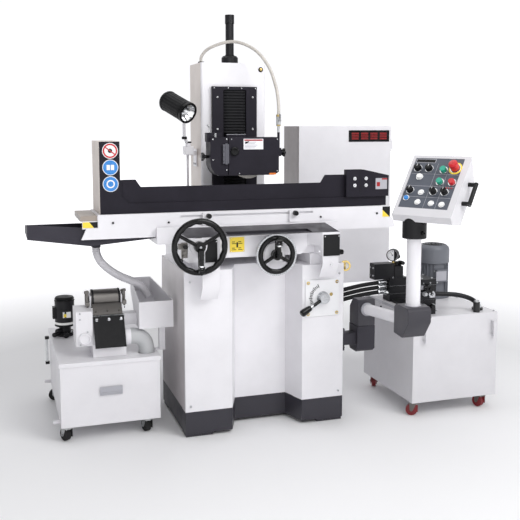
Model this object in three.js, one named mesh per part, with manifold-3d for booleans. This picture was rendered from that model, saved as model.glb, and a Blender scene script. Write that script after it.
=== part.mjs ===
// A toolroom surface grinder with its pendant, coolant unit and hydraulic unit, in millimetres, +Z up.
// Layout frame while building: X = 0 on the base's middle, Y = 0 on the front of the base's two
// pillars (the operator stands at -Y), Z = 0 on the floor. The last lines shift the finished machine
// so that its origin is at the middle of its bounding box's bottom.
import * as THREE from 'three';
import { mergeVertices } from 'three/addons/utils/BufferGeometryUtils.js';
import Module from 'manifold-3d';

const wasm = await Module();
wasm.setup();

// ---------- Driving dimensions ----------
const GAP = 0.4; // clearance between pieces that touch
const PAINTED_SHEET = 4;

const BASE = { half: 399, rearHalf: 270, wideBack: 530, back: 1060, top: 790, recess: 130 };
const WAY = { inner: 225, outer: 325, top: 843.5, back: 490 };
const SADDLE = { left: -400, half: 338, front: -85, face: 0, bottom: 845, top: 957, back: 435 };
const STRIP = { left: -503, right: 408, front: 100, back: 125, bottom: 905, top: 984 };
const TABLE = { front: 135, skin: 15, back: 430, left: -768, right: 672, top: 1050 };
const SLOT = { left: -384, right: 287, bottom: 1022, top: 1039 };
const CHUCK = { left: -303, right: 207, front: 190, back: 390, height: 65 };
const COLUMN = { half: 176, front: 545, back: 800, top: 1784 };
const COVER = { half: 121, front: 521, bottom: 1000, top: 1660 };
const CHANNEL = { half: 62, bottom: 1015, top: 1643 };
const SPINDLE_Z = 1284;
const WHEEL = { radius: 90, front: 283, width: 25 };
const GUARD = { left: -206, right: 148, bottom: 1212, top: 1400, front: 245, back: 335 };
const DOOR_LEFT = -114;
const BELLOWS = { peak: 523, valley: 533, back: 548 };
const NECK = { half: 52, bottom: 1240, top: 1410 };
const SCREW_Y = 615;
const TANK = { left: 735, right: 1218, front: -100, back: 456, bottom: 74, top: 510 };
const COOLANT = { left: -963, right: -492, front: 97, back: 806, bottom: 74, top: 378 };
const CABINET = { left: 467, right: 1060, front: 800, back: 1050, bottom: 520, top: 1455 };
const KNUCKLE = { x: 520, y: 40 };
const POST = { x: 560, y: -400, radius: 32, bottom: 640, top: 965 };
const PANEL = { width: 283, height: 325, thickness: 105 };
const TABLE_HAND = { x: -354, y: -120, z: 920, pivot: -106 };
const CROSS_HAND = { x: 29, y: -62, z: 857, pivot: 70 };
const SHAFT = 16;
const CRANK_Y = -34; // a folded crank lies this far in front of its handwheel's plane
const DOOR_PIVOT = { x: -128, y: 238 };
const LAMP = { x: -228, y: 622, foot: 1348 };
const LAMP_TILT = [-262, 570, 1495];
const LAMP_AXIS = [0.852, 0.524, 0];
const LAMP_BACK = [-354, 550, 1585];
const LAMP_FRONT = [-274, 420, 1519];
const HOSE_END = { x: 153, y: 268, z: 1502 };
const DRAIN = { x: -760, y: 300 };
const SEPARATOR = { left: -800, right: -646 };
const DRUM = { radius: 44, y: 300, z: 630 };
const HOPPER = { left: -584, right: -420 };

// Routes of the hoses that hang free, from one fitting to the other.
const COOLANT_ROUTE = [
  [-130, 720, COLUMN.top + 1], [-128, 715, 1830], [-90, 660, 1872], [0, 560, 1895],
  [75, 440, 1850], [125, 350, 1760], [147, 290, 1650], [153, 268, 1560],
  [HOSE_END.x, HOSE_END.y, HOSE_END.z],
];
const DRAIN_ROUTE = [
  [DRAIN.x, DRAIN.y, 877], [DRAIN.x + 3, DRAIN.y, 846], [-738, 300, 806], [-700, 300, 768],
  [-650, 300, 733], [-595, 299, 707], [-545, 297, 680], [-512, 294, 626],
];
const HYDRAULIC_HOSES = [0, -26, -52].map((drop) => [
  [795, 318, 612 + drop], [740, 316, 611 + drop], [640, 302, 606 + drop], [520, 282, 592 + drop],
  [430, 270, 574 + drop], [402, 268, 570 + drop],
]);

// ---------- Materials ----------
const finish = (color, roughness, metalness) => (
  new THREE.MeshStandardMaterial({ color, roughness, metalness })
);
const WHITE = finish(0xe9e7ea, 0.45, 0.1);
const DARK = finish(0x2b2a33, 0.5, 0.2);
const BLACK = finish(0x141417, 0.4, 0.0);
const STEEL = finish(0xb9bcc0, 0.3, 0.9);
const CHROME = finish(0xdadde0, 0.12, 1.0);
const MOTOR = finish(0x5b646c, 0.5, 0.3);
const RUBBER = finish(0x1b1b1d, 0.8, 0.0);
const HOSE = finish(0xcfc9bd, 0.5, 0.0);
const CASTER_RED = finish(0xb4262a, 0.45, 0.1);
const ABRASIVE = finish(0xd9d4cb, 0.95, 0.0);
const RED = finish(0xc9202b, 0.35, 0.0);
const GREEN = finish(0x2f9d7d, 0.35, 0.0);

// Push buttons and knobs on the pendant: x across the panel, z up it, from the panel's middle.
const CONTROLS = [
  { name: 'emergency_stop', x: 83, z: 96, radius: 20, length: 40, travel: 6, material: RED },
  { name: 'start_button', x: 31, z: 84, radius: 14, length: 20, travel: 4, material: GREEN },
  { name: 'cycle_button', x: 33, z: 20, radius: 14, length: 20, travel: 4, material: GREEN },
  { name: 'stop_button', x: 91, z: 20, radius: 14, length: 20, travel: 4, material: RED },
  { name: 'selector_1', x: 19, z: -33, radius: 14, length: 24, travel: 0, material: BLACK },
  { name: 'selector_2', x: 72, z: -33, radius: 14, length: 24, travel: 0, material: BLACK },
];
// Knobs and lamps that stay part of the panel: x, z, radius and how far they stand out.
const FIXED_CONTROLS = [
  [-96, 89, 15, 20], [-41, 89, 15, 20], [-73, 42, 12, 14], [-95, -31, 14, 20],
  [-39, -39, 10, 7], [-39, -91, 10, 7], [27, -94, 10, 7], [78, -97, 10, 7], [-101, -72, 10, 7],
];

// ---------- Solids ----------
function solidOf(geometry) {
  const flat = geometry.index ? geometry.toNonIndexed() : geometry;
  const bare = new THREE.BufferGeometry().setAttribute('position', flat.getAttribute('position'));
  const merged = mergeVertices(bare, 1e-3);
  return new wasm.Manifold(new wasm.Mesh({
    numProp: 3,
    vertProperties: merged.attributes.position.array,
    triVerts: new Uint32Array(merged.index.array),
  }));
}

function geometryOf(solid) {
  const mesh = solid.getMesh();
  const geometry = new THREE.BufferGeometry();
  geometry.setAttribute('position', new THREE.BufferAttribute(mesh.vertProperties, 3));
  geometry.setIndex(new THREE.BufferAttribute(mesh.triVerts, 1));
  geometry.computeVertexNormals();
  return geometry;
}

const join = (...shapes) => geometryOf(shapes.map(solidOf).reduce((a, b) => a.add(b)));
const cut = (body, ...tools) => (
  geometryOf(tools.map(solidOf).reduce((a, b) => a.subtract(b), solidOf(body)))
);

// A box between two X, two Y and two Z values.
function box(x0, x1, y0, y1, z0, z1) {
  return new THREE.BoxGeometry(x1 - x0, y1 - y0, z1 - z0)
    .translate((x0 + x1) / 2, (y0 + y1) / 2, (z0 + z1) / 2);
}

// A round bar from one point to another, straight or tapered.
function rod(radius, from, to, sides = 24, endRadius = radius) {
  const start = new THREE.Vector3(...from);
  const run = new THREE.Vector3(...to).sub(start);
  const turn = new THREE.Quaternion().setFromUnitVectors(
    new THREE.Vector3(0, 1, 0),
    run.clone().normalize(),
  );
  const middle = start.clone().addScaledVector(run, 0.5);
  return new THREE.CylinderGeometry(endRadius, radius, run.length(), sides)
    .applyQuaternion(turn)
    .translate(middle.x, middle.y, middle.z);
}

const outline = (points) => new THREE.Shape(points.map(([a, b]) => new THREE.Vector2(a, b)));

// An outline given in X and Y, raised from one Z to another.
function prismZ(shape, z0, z1, corners = 5) {
  const settings = { depth: z1 - z0, bevelEnabled: false, curveSegments: corners };
  return new THREE.ExtrudeGeometry(shape, settings).translate(0, 0, z0);
}

// An outline given in X and Z, pushed from one Y to another.
function prismY(shape, y0, y1, corners = 5) {
  const settings = { depth: y1 - y0, bevelEnabled: false, curveSegments: corners };
  return new THREE.ExtrudeGeometry(shape, settings).rotateX(Math.PI / 2).translate(0, y1, 0);
}

// An outline given in Y and Z, pushed from one X to another.
function prismX(shape, x0, x1, corners = 5) {
  const settings = { depth: x1 - x0, bevelEnabled: false, curveSegments: corners };
  const toX = new THREE.Matrix4().makeBasis(
    new THREE.Vector3(0, 1, 0),
    new THREE.Vector3(0, 0, 1),
    new THREE.Vector3(1, 0, 0),
  );
  return new THREE.ExtrudeGeometry(shape, settings).applyMatrix4(toX).translate(x0, 0, 0);
}

// A rectangle with one corner radius all round.
function rounded(a0, a1, b0, b1, r) {
  const shape = new THREE.Shape();
  shape.moveTo(a0 + r, b0);
  shape.lineTo(a1 - r, b0);
  shape.absarc(a1 - r, b0 + r, r, -Math.PI / 2, 0, false);
  shape.lineTo(a1, b1 - r);
  shape.absarc(a1 - r, b1 - r, r, 0, Math.PI / 2, false);
  shape.lineTo(a0 + r, b1);
  shape.absarc(a0 + r, b1 - r, r, Math.PI / 2, Math.PI, false);
  shape.lineTo(a0, b0 + r);
  shape.absarc(a0 + r, b0 + r, r, Math.PI, Math.PI * 1.5, false);
  return shape;
}

// A profile of [radius, height] pairs turned about the Z axis through the origin.
function turned(profile, sides = 32) {
  const points = profile.map(([r, h]) => new THREE.Vector2(r, h));
  return new THREE.LatheGeometry(points, sides).rotateX(Math.PI / 2);
}

// A tube along a smooth curve through the given points.
function tube(radius, points, steps, sides = 10) {
  const curve = new THREE.CatmullRomCurve3(points.map((p) => new THREE.Vector3(...p)));
  const section = new THREE.Shape();
  section.absarc(0, 0, radius, 0, Math.PI * 2, false);
  const settings = { steps, curveSegments: sides / 2, bevelEnabled: false, extrudePath: curve };
  return new THREE.ExtrudeGeometry(section, settings);
}

const machine = new THREE.Group();

function part(name, geometry, material, parent = machine) {
  const mesh = new THREE.Mesh(geometry, material);
  mesh.name = name;
  parent.add(mesh);
  return mesh;
}

function groupAt(x, y, z, parent = machine) {
  const group = new THREE.Group();
  group.position.set(x, y, z);
  parent.add(group);
  return group;
}

// ---------- Base and column ----------
function addBase() {
  const plan = outline([
    [-BASE.half, 0], [-171, 0], [-121, BASE.recess], [142, BASE.recess], [182, 0], [BASE.half, 0],
    [BASE.half, BASE.wideBack], [BASE.rearHalf, BASE.wideBack], [BASE.rearHalf, BASE.back],
    [-BASE.rearHalf, BASE.back], [-BASE.rearHalf, BASE.wideBack], [-BASE.half, BASE.wideBack],
  ]);
  const feet = [];
  for (const side of [-1, 1]) {
    feet.push(box(side * 330 - 66, side * 330 + 66, 6, 90, 0, 20));
    feet.push(box(side * 330 - 66, side * 330 + 66, 430, 520, 0, 20));
    feet.push(box(side * 210 - 56, side * 210 + 56, 960, 1050, 0, 20));
  }
  const ways = [-1, 1].map((side) => {
    const edges = [side * WAY.inner, side * WAY.outer].sort((a, b) => a - b);
    return box(edges[0], edges[1], 12, WAY.back, BASE.top - 5, WAY.top);
  });
  const speedPlate = box(195, 375, -4, 3, 533, 716);
  const body = join(prismZ(plan, 14, BASE.top), ...feet, ...ways, speedPlate);
  const hollow = join(box(-350, 350, 180, 490, -1, 745), box(-225, 225, 400, 1015, -1, 745));
  part('base_casting', cut(body, hollow), WHITE);
}

function addColumn() {
  const body = prismZ(rounded(-COLUMN.half, COLUMN.half, COLUMN.front, COLUMN.back, 14),
    BASE.top + GAP, COLUMN.top);
  const lampBracket = join(
    box(-COLUMN.half - 6, -COLUMN.half + 1, 632, 700, 1240, 1334),
    box(-230, -COLUMN.half - 5, 625, 660, 1300, 1320),
    box(LAMP.x - 24, LAMP.x + 24, LAMP.y - 22, LAMP.y + 22, 1304, LAMP.foot),
    rod(7, [LAMP.x, 640, 830], [LAMP.x, 640, 1310], 12),
  );
  const cavity = box(-132, 132, 570, 766, 812, 1742);
  const mouth = box(-65, 65, COLUMN.front - 1, 575, CHANNEL.bottom - 5, CHANNEL.top + 5);
  const screwHole = rod(24, [0, SCREW_Y, 1700], [0, SCREW_Y, 1800]);
  part('column', join(cut(body, cavity, mouth, screwHole), lampBracket), WHITE);

  const plate = box(-COVER.half, COVER.half, COVER.front, COLUMN.front - GAP, COVER.bottom, COVER.top);
  const window = box(-CHANNEL.half, CHANNEL.half, 400, 600, CHANNEL.bottom, CHANNEL.top);
  part('way_cover', cut(plate, window), DARK);

  const pole = turned([
    [18.5, 0], [44, 0], [44, 30], [36, 40], [22, 40], [22, 210], [24.5, 210], [24.5, 254], [0, 254],
    [0, 250], [18.5, 250], [18.5, 0],
  ], 28);
  part('screw_cover_tube', pole, BLACK, groupAt(0, SCREW_Y, COLUMN.top + GAP));
  part('elevation_screw', rod(15, [0, SCREW_Y, 813], [0, SCREW_Y, 2000], 16), STEEL);
}

// A bellows is a stack of folds: a zigzag outline in Y and Z, pushed across X.
function bellows(z0, z1, folds) {
  const pitch = (z1 - z0) / folds;
  const points = [[BELLOWS.back, z0]];
  for (let i = 0; i < folds; i += 1) {
    points.push([BELLOWS.valley, z0 + pitch * i], [BELLOWS.peak, z0 + pitch * (i + 0.5)]);
  }
  points.push([BELLOWS.valley, z1], [BELLOWS.back, z1]);
  return prismX(outline(points), -60, 60);
}

function addBellows() {
  part('upper_bellows', bellows(NECK.top + 6, CHANNEL.top - GAP, 12), RUBBER);
  part('lower_bellows', bellows(CHANNEL.bottom + GAP, NECK.bottom - 6, 11), RUBBER);
}

// ---------- Saddle ----------
function addSaddle() {
  const plan = outline([
    [SADDLE.left, SADDLE.front], [-250, SADDLE.front], [-205, SADDLE.face], [205, SADDLE.face],
    [250, SADDLE.front], [SADDLE.half, SADDLE.front], [SADDLE.half, STRIP.back],
    [SADDLE.left, STRIP.back],
  ]);
  const slope = outline([[SADDLE.front, 956], [STRIP.front, 956], [STRIP.front, 980]]);
  const apronBlock = join(
    prismZ(plan, SADDLE.bottom, SADDLE.top),
    prismX(slope, SADDLE.left, SADDLE.half),
  );
  const notch = outline([[171, 840], [214, 892], [249, 892], [249, 840]]);
  const front = cut(apronBlock, prismY(notch, -200, 60), box(-204, 204, -150, -0.01, 956.5, 1000));
  const boss = rod(52, [CROSS_HAND.x, -34, CROSS_HAND.z], [CROSS_HAND.x, 60, CROSS_HAND.z], 28);
  const hub = rod(40, [TABLE_HAND.x, -100, TABLE_HAND.z], [TABLE_HAND.x, -80, TABLE_HAND.z], 24);
  const body = join(
    front,
    box(-300, 300, 20, SADDLE.back, SADDLE.bottom, 932),
    box(STRIP.left, STRIP.right, STRIP.front, SADDLE.back, STRIP.bottom, 932),
    box(STRIP.left, STRIP.right, STRIP.front, STRIP.back, STRIP.bottom, STRIP.top),
    box(-480, 390, 160, SADDLE.back, 931, 985),
    box(-480, 390, 185, 225, 984, 1000),
    box(-480, 390, 385, 425, 984, 1000),
    boss,
    hub,
    wayGuard(-1, 662),
    wayGuard(1, 735),
  );
  const bores = [CROSS_HAND, TABLE_HAND].map(({ x, z }) => (
    rod(SHAFT + GAP, [x, -150, z], [x, 92, z], 20)
  ));
  part('saddle', cut(body, ...bores), WHITE);
}

// A bent sheet under the saddle that hangs in front of the base's ways.
function wayGuard(side, low) {
  const edges = [side * 252, side * 334].sort((a, b) => a - b);
  const profile = outline([
    [-82, SADDLE.bottom + 5], [-82, low + 60], [-40, low], [-34, low + 2], [-76, low + 62],
    [-76, SADDLE.bottom + 5],
  ]);
  return prismX(profile, edges[0], edges[1]);
}

function addCoolantTray() {
  const outside = outline([
    [-1080, 946], [-800, 905], [STRIP.left - GAP, 930], [STRIP.left - GAP, 985], [-760, 985],
    [-1080, 1013],
  ]);
  const inside = outline([
    [-1075, 952], [-799, 911], [STRIP.left - 8, 936], [STRIP.left - 8, 1100], [-1075, 1100],
  ]);
  const rearCut = prismX(outline([[162, 1014], [441, 981], [441, 1120], [162, 1120]]), -1081, -519);
  const trough = cut(prismY(outside, 156, 440), prismY(inside, 161, 435), rearCut);
  const spout = join(trough, rod(22, [DRAIN.x, DRAIN.y, 880], [DRAIN.x, DRAIN.y, 912], 20));
  const drainHole = rod(17, [DRAIN.x, DRAIN.y, 870], [DRAIN.x, DRAIN.y, 940], 20);
  part('coolant_tray', cut(spout, drainHole), DARK);
}

// ---------- Handwheels ----------
// A handwheel stands in its own group: the shaft lies along Y and the rim faces the operator at -Y.
// Its crank folds flat across the spokes, on a lug at the rim, and swings out to stand at -Y.
function wheelRim({ radius, tubeRadius, spokeAngles, hubRadius, shaftEnd }) {
  const rim = new THREE.TorusGeometry(radius, tubeRadius, 10, 36).rotateX(Math.PI / 2);
  const spokes = spokeAngles.map((degrees) => {
    const angle = THREE.MathUtils.degToRad(degrees);
    const tip = [Math.cos(angle) * radius, 0, Math.sin(angle) * radius];
    return rod(9, [0, 2, 0], tip, 10, 8);
  });
  const hub = rod(hubRadius, [0, -14, 0], [0, 16, 0], 24);
  const shaft = rod(SHAFT, [0, 15, 0], [0, shaftEnd, 0], 20);
  return join(rim, hub, shaft, ...spokes);
}

function crankLug(pivotZ, rimZ) {
  const stem = box(-5, 5, CRANK_Y, 0, Math.min(pivotZ, rimZ) - 6, Math.max(pivotZ, rimZ) + 6);
  return join(stem, rod(9.5, [-5, CRANK_Y, pivotZ], [5, CRANK_Y, pivotZ], 18));
}

function crank(pivotZ, length, gripRadius) {
  const inward = pivotZ < 0 ? 1 : -1;
  const along = (distance) => pivotZ + inward * distance;
  const cheek = rod(10, [-13, CRANK_Y, pivotZ], [13, CRANK_Y, pivotZ], 18);
  const neckLow = Math.min(along(0), along(22));
  const neck = box(-13, 13, CRANK_Y - 8, CRANK_Y + 8, neckLow, neckLow + 22);
  const slotLow = Math.min(along(-12), along(14));
  const slot = box(-5.6, 5.6, CRANK_Y - 20, CRANK_Y + 20, slotLow, slotLow + 26);
  const pin = rod(4, [-8, CRANK_Y, pivotZ], [8, CRANK_Y, pivotZ], 12);
  const grip = rod(gripRadius * 0.8, [0, CRANK_Y, along(20)], [0, CRANK_Y, along(length)], 18,
    gripRadius);
  return join(cut(join(cheek, neck), slot), pin, grip);
}

function addHandwheels() {
  const pinHole = (z) => rod(4.4, [-9, CRANK_Y, z], [9, CRANK_Y, z], 12);

  const big = groupAt(TABLE_HAND.x, TABLE_HAND.y, TABLE_HAND.z);
  const bigRim = wheelRim({
    radius: 117, tubeRadius: 11, spokeAngles: [30, 150, 270], hubRadius: 25, shaftEnd: 200,
  });
  const bigLug = crankLug(TABLE_HAND.pivot, -117);
  part('table_handwheel', cut(join(bigRim, bigLug), pinHole(TABLE_HAND.pivot)), BLACK, big);
  part('table_crank', crank(TABLE_HAND.pivot, 96, 12), BLACK, big);

  const small = groupAt(CROSS_HAND.x, CROSS_HAND.y, CROSS_HAND.z);
  const smallRim = wheelRim({
    radius: 80, tubeRadius: 10, spokeAngles: [90, 210, 330], hubRadius: 24, shaftEnd: 148,
  });
  const dialRing = turned([[89, 0], [99, 0], [99, 15], [88, 15], [89, 0]], 40)
    .rotateX(-Math.PI / 2);
  const smallLug = crankLug(CROSS_HAND.pivot, 80);
  part('cross_handwheel', cut(join(smallRim, dialRing, smallLug), pinHole(CROSS_HAND.pivot)),
    BLACK, small);
  part('cross_crank', crank(CROSS_HAND.pivot, 84, 11), BLACK, small);
}

// The speed lever turns about Y on the right pillar's plate and rests at its lowest setting.
function addSpeedLever() {
  const pivot = groupAt(286, 0, 626);
  const tip = [-118, -44, -61];
  const knee = [-60, -34, -31];
  const lever = join(
    rod(24, [0, -GAP - 4, 0], [0, -40, 0], 28),
    rod(6, [0, -24, 0], knee, 12),
    rod(9, [-52, -33, -27], tip, 16, 13),
  );
  part('speed_lever', lever, CHROME, pivot);
}

// ---------- Table ----------
function addTable() {
  const inner = TABLE.front + TABLE.skin;
  const apron = outline([
    [-844, 938], [747, 938], [725, 990], [TABLE.right, 990], [TABLE.right, TABLE.top],
    [TABLE.left, TABLE.top], [TABLE.left, 990], [-820, 990],
  ]);
  const endPlates = join(
    box(-838, TABLE.left + 1, 144, inner, 986, 1022), box(-846, TABLE.left + 1, 144, 420, 1021, 1046),
    box(TABLE.right - 1, 720, 144, inner, 986, 1046),
  );
  const body = join(
    prismY(apron, TABLE.front, inner),
    endPlates,
    box(TABLE.left, TABLE.right, inner - 1, TABLE.back, 1020, TABLE.top),
    box(-488, 392, 165, 425, 1001, 1021),
  );
  const mouth = box(SLOT.left, SLOT.right, TABLE.front - 1, TABLE.front + 6, 1026, 1035);
  const slot = box(SLOT.left, SLOT.right, TABLE.front + 5, TABLE.front + 10, SLOT.bottom, SLOT.top);
  part('table', cut(body, mouth, slot), WHITE);
  const keyX = CHUCK.right - 45;
  const keyZ = TABLE.top + 32;
  part('magnetic_chuck', join(
    box(CHUCK.left, CHUCK.right, CHUCK.front, CHUCK.back, TABLE.top + GAP, TABLE.top + CHUCK.height),
    rod(14, [keyX, CHUCK.front - 12, keyZ], [keyX, CHUCK.front + 5, keyZ], 20),
  ), STEEL);
}

function addSplashGuards() {
  const low = TABLE.top + GAP;
  const wall = outline([
    [-650, low], [702, low], [702, 1206], [561, 1237], [467, 1237], [467, 1212], [361, 1212],
    [337, 1174], [-565, 1173], [-589, 1208], [-650, 1208],
  ]);
  const bay = outline([[467, 1100], [702, 1100], [702, 1206], [561, 1237], [467, 1237]]);
  const guard = join(
    prismY(wall, 158, 162),
    box(698, 702, 160, 430, low, 1206),
    box(-650, 702, 426, 430, low, 1100),
    prismY(bay, 130, 134),
    box(467, 471, 130, 160, 1100, 1237),
    box(698, 702, 130, 160, 1100, 1206),
    box(467, 702, 130, 160, 1100, 1104),
  );
  part('splash_guard', guard, DARK);

  const left = -756;
  const right = -661;
  const channel = cut(
    box(left, right, 150, 415, low, 1385),
    box(left + PAINTED_SHEET, right + 1, 154, 411, low - 1, 1381),
  );
  const gusset = outline([[-662, low], [-560, low], [-560, 1098], [-622, 1098], [-662, 1136]]);
  const sill = join(channel, box(-600, TABLE.right, 150, 154, low, 1098), prismY(gusset, 150, 154));
  part('end_guard', sill, DARK);
}

// A dog clamps in the apron's T-slot and can be slid along it.
function addReverseDog(name, x) {
  const dog = groupAt(x, TABLE.front, 1030.5);
  const body = join(
    box(-25, 25, -16, -GAP, -44, 14),
    box(-13, 13, -1, 6, -3.6, 3.6),
    box(-13, 13, 5.6, 9.2, -7, 7),
    rod(12, [2, -38, 0], [2, -15, 0], 18),
  );
  part(name, body, BLACK, dog);
}

// ---------- Wheel head ----------
function ringY(outer, inner, y0, y1, sides = 36) {
  return turned([[inner, 0], [outer, 0], [outer, y1 - y0], [inner, y1 - y0], [inner, 0]], sides)
    .rotateX(-Math.PI / 2)
    .translate(0, y0, 0);
}

function addWheelHead() {
  const bore = rod(17, [0, 330, SPINDLE_Z], [0, 482, SPINDLE_Z], 24);
  const screwBore = rod(18, [0, SCREW_Y, 1100], [0, SCREW_Y, 1500], 24);
  const body = join(
    prismY(rounded(-100, 100, 1215, 1392, 30), 342, 500),
    rod(62, [0, GUARD.back + GAP, SPINDLE_Z], [0, 345, SPINDLE_Z], 32),
    box(-NECK.half, NECK.half, 495, 620, NECK.bottom, NECK.top),
    box(-105, 105, 574, 700, 1180, 1460),
  );
  part('wheel_head', cut(body, bore, screwBore), DARK);
}

function addSpindle() {
  const spindle = groupAt(0, 0, SPINDLE_Z);
  const back = WHEEL.front + WHEEL.width;
  const shaft = join(
    rod(15, [0, WHEEL.front - 20, 0], [0, 470, 0], 24),
    rod(34, [0, WHEEL.front - 16, 0], [0, WHEEL.front - GAP, 0], 28),
    rod(36, [0, back + GAP, 0], [0, back + 16, 0], 28),
  );
  part('spindle', shaft, STEEL, spindle);
  part('grinding_wheel', ringY(WHEEL.radius, 15.4, WHEEL.front, back, 44), ABRASIVE, spindle);
}

// The guard's outline has one big rounded corner, lower left, where the wheel throws its sparks.
function guardOutline(inset) {
  const shape = new THREE.Shape();
  const left = GUARD.left + inset;
  const right = GUARD.right - inset;
  const low = GUARD.bottom + inset;
  const high = GUARD.top - inset;
  shape.moveTo(left + 45, low);
  shape.lineTo(right - 24, low);
  shape.lineTo(right, low + 14);
  shape.lineTo(right, high);
  shape.lineTo(left, high);
  shape.lineTo(left, low + 60);
  shape.quadraticCurveTo(left + 6, low + 12, left + 45, low);
  return shape;
}

function addWheelGuard() {
  const { front, back, bottom, right, left } = GUARD;
  const shell = prismY(guardOutline(0), front + 13, back, 8);
  const room = prismY(guardOutline(6), front + 5, back - 6, 8);
  const wheelMouth = box(-76, 76, front + 14, back - 7, bottom - 10, bottom + 20);
  const arbor = rod(42, [0, back - 12, SPINDLE_Z], [0, back + 12, SPINDLE_Z], 28);
  const leftFace = cut(
    prismY(guardOutline(0), front, front + 13.5, 8),
    box(DOOR_LEFT - 3, 300, 0, 400, 1000, 1600),
  );
  const body = join(
    cut(shell, room, wheelMouth, arbor),
    leftFace,
    box(left - 14, -146, front + 12, front + 55, 1378, 1422),
    rod(5, [left - 24, front + 40, 1305], [left + 2, front + 40, 1305], 10),
    rod(14, [left - 29, front + 40, 1305], [left - 21, front + 40, 1305], 18),
    box(right - 2, right + 24, front + 32, front + 68, 1303, 1345),
    rod(9, [right + 22, front + 50, 1322], [right + 42, front + 50, 1322], 14),
    rod(6.5, [HOSE_END.x, HOSE_END.y, 1340], [HOSE_END.x, HOSE_END.y, 1470], 14),
    rod(12, [HOSE_END.x, HOSE_END.y, 1462], [HOSE_END.x, HOSE_END.y, HOSE_END.z - GAP], 18),
  );
  part('wheel_guard', body, DARK);

  const doorPlate = cut(
    prismY(guardOutline(0), front, front + 12.5, 8),
    box(-400, DOOR_LEFT, 0, 400, 1000, 1600),
  );
  const door = join(
    doorPlate,
    rod(19, [-87, front - 13, 1331], [-87, front + 2, 1331], 22),
    rod(6, [DOOR_PIVOT.x, DOOR_PIVOT.y, 1268], [DOOR_PIVOT.x, DOOR_PIVOT.y, 1370], 14),
    box(DOOR_PIVOT.x, DOOR_LEFT + 10, front - 9, front - 1.5, 1272, 1366),
    box(DOOR_LEFT + 1, DOOR_LEFT + 10, front - 9, front + 2, 1272, 1366),
  );
  part('guard_door', door, DARK);

  const tap = groupAt(HOSE_END.x, HOSE_END.y - 12 - GAP, 1481);
  part('coolant_tap', join(
    rod(6, [0, 0, 0], [0, -12, 0], 14),
    box(-4, 4, -12, -8, 0, 34),
  ), STEEL, tap);
}

// ---------- Work lamp ----------
function alongLamp(distance) {
  const start = new THREE.Vector3(...LAMP_FRONT);
  const run = start.clone().sub(new THREE.Vector3(...LAMP_BACK)).normalize();
  return start.addScaledVector(run, distance).toArray();
}

function besideTilt(distance) {
  return LAMP_TILT.map((value, i) => value + LAMP_AXIS[i] * distance);
}

function addLamp() {
  const elbow = [-254, 600, 1393];
  const arm = join(
    rod(15, [LAMP.x, LAMP.y, LAMP.foot + GAP], [LAMP.x, LAMP.y, 1366], 18),
    rod(8, [LAMP.x, LAMP.y, 1360], elbow, 14),
    rod(8, elbow, [-260, 580, 1471], 14),
    rod(6, [-260, 580, 1466], besideTilt(8), 12),
    rod(13, besideTilt(1), besideTilt(15), 18),
  );
  part('lamp_arm', arm, WHITE);

  const head = join(
    rod(52, LAMP_BACK, LAMP_FRONT, 28),
    rod(6, besideTilt(-8), [-314, 485, 1552], 12),
    rod(13, besideTilt(-15), besideTilt(-1), 18),
  );
  part('lamp_head', cut(head, rod(40, alongLamp(-30), alongLamp(1), 28, 46)), BLACK);
}

// ---------- Electrical cabinet ----------
function addCabinet() {
  const { left, right, front, back, bottom, top } = CABINET;
  const body = cut(
    box(left, right, front + 22, back, bottom, top),
    box(left + 30, right - 30, front + 20, back - 3, bottom + 30, top - 30),
  );
  const brackets = [560, 700].map((z) => (
    box(BASE.rearHalf + GAP, left + 2, 850, 890, z, z + 60)
  ));
  const hinges = [640, 1320].map((z) => (
    rod(6, [right + 8, front + 16, z], [right + 8, front + 16, z + 50], 14)
  ));
  const hingeLeaves = [640, 1320].map((z) => (
    box(right - 4, right + 4, front + 24, front + 60, z, z + 50)
  ));
  const hingeArms = [640, 1320].map((z) => (
    box(right + 1, right + 8, front + 14, front + 40, z, z + 50)
  ));
  part('electrical_cabinet', join(body, ...brackets, ...hinges, ...hingeLeaves, ...hingeArms), WHITE);
  const door = join(
    box(left, right - 1, front, front + 21.4, bottom, top),
    box(left + 24, left + 44, front - 10, front + 1, 900, 1000),
  );
  part('cabinet_door', door, WHITE);
}

// ---------- Pendant ----------
function addPendantArm() {
  const { x, y } = KNUCKLE;
  const lower = outline([
    [y - 50, 352], [y - 30, 336], [y + 40, 336], [y + 50, 352], [y + 50, 468], [y - 50, 468],
  ]);
  const bracket = join(
    prismX(lower, x - 48, x + 48),
    box(BASE.half + GAP, x - 40, y - 28, y + 28, 372, 432),
    box(BASE.half + GAP, BASE.half + 12, 8, 104, 346, 458),
  );
  part('arm_bracket', bracket, BLACK);

  const upper = outline([
    [y - 52, 468 + GAP], [y + 50, 468 + GAP], [y + 50, 556], [y + 12, 602], [y - 52, 602],
  ]);
  const elbow = outline([
    [POST.y + 70, 515], [POST.y + 70, 638], [POST.y + 52, 652], [POST.y - 50, 652],
    [POST.y - 64, 638], [POST.y - 64, 585], [POST.y - 8, 508],
  ]);
  const body = join(
    prismX(upper, x - 46, x + 46),
    rod(27, [x, y - 40, 552], [POST.x - 4, POST.y + 60, 572], 24),
    prismX(elbow, POST.x - 58, POST.x + 58),
    rod(POST.radius, [POST.x, POST.y, POST.bottom], [POST.x, POST.y, POST.top], 28),
  );
  part('pendant_arm', body, WHITE);
}

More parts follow.
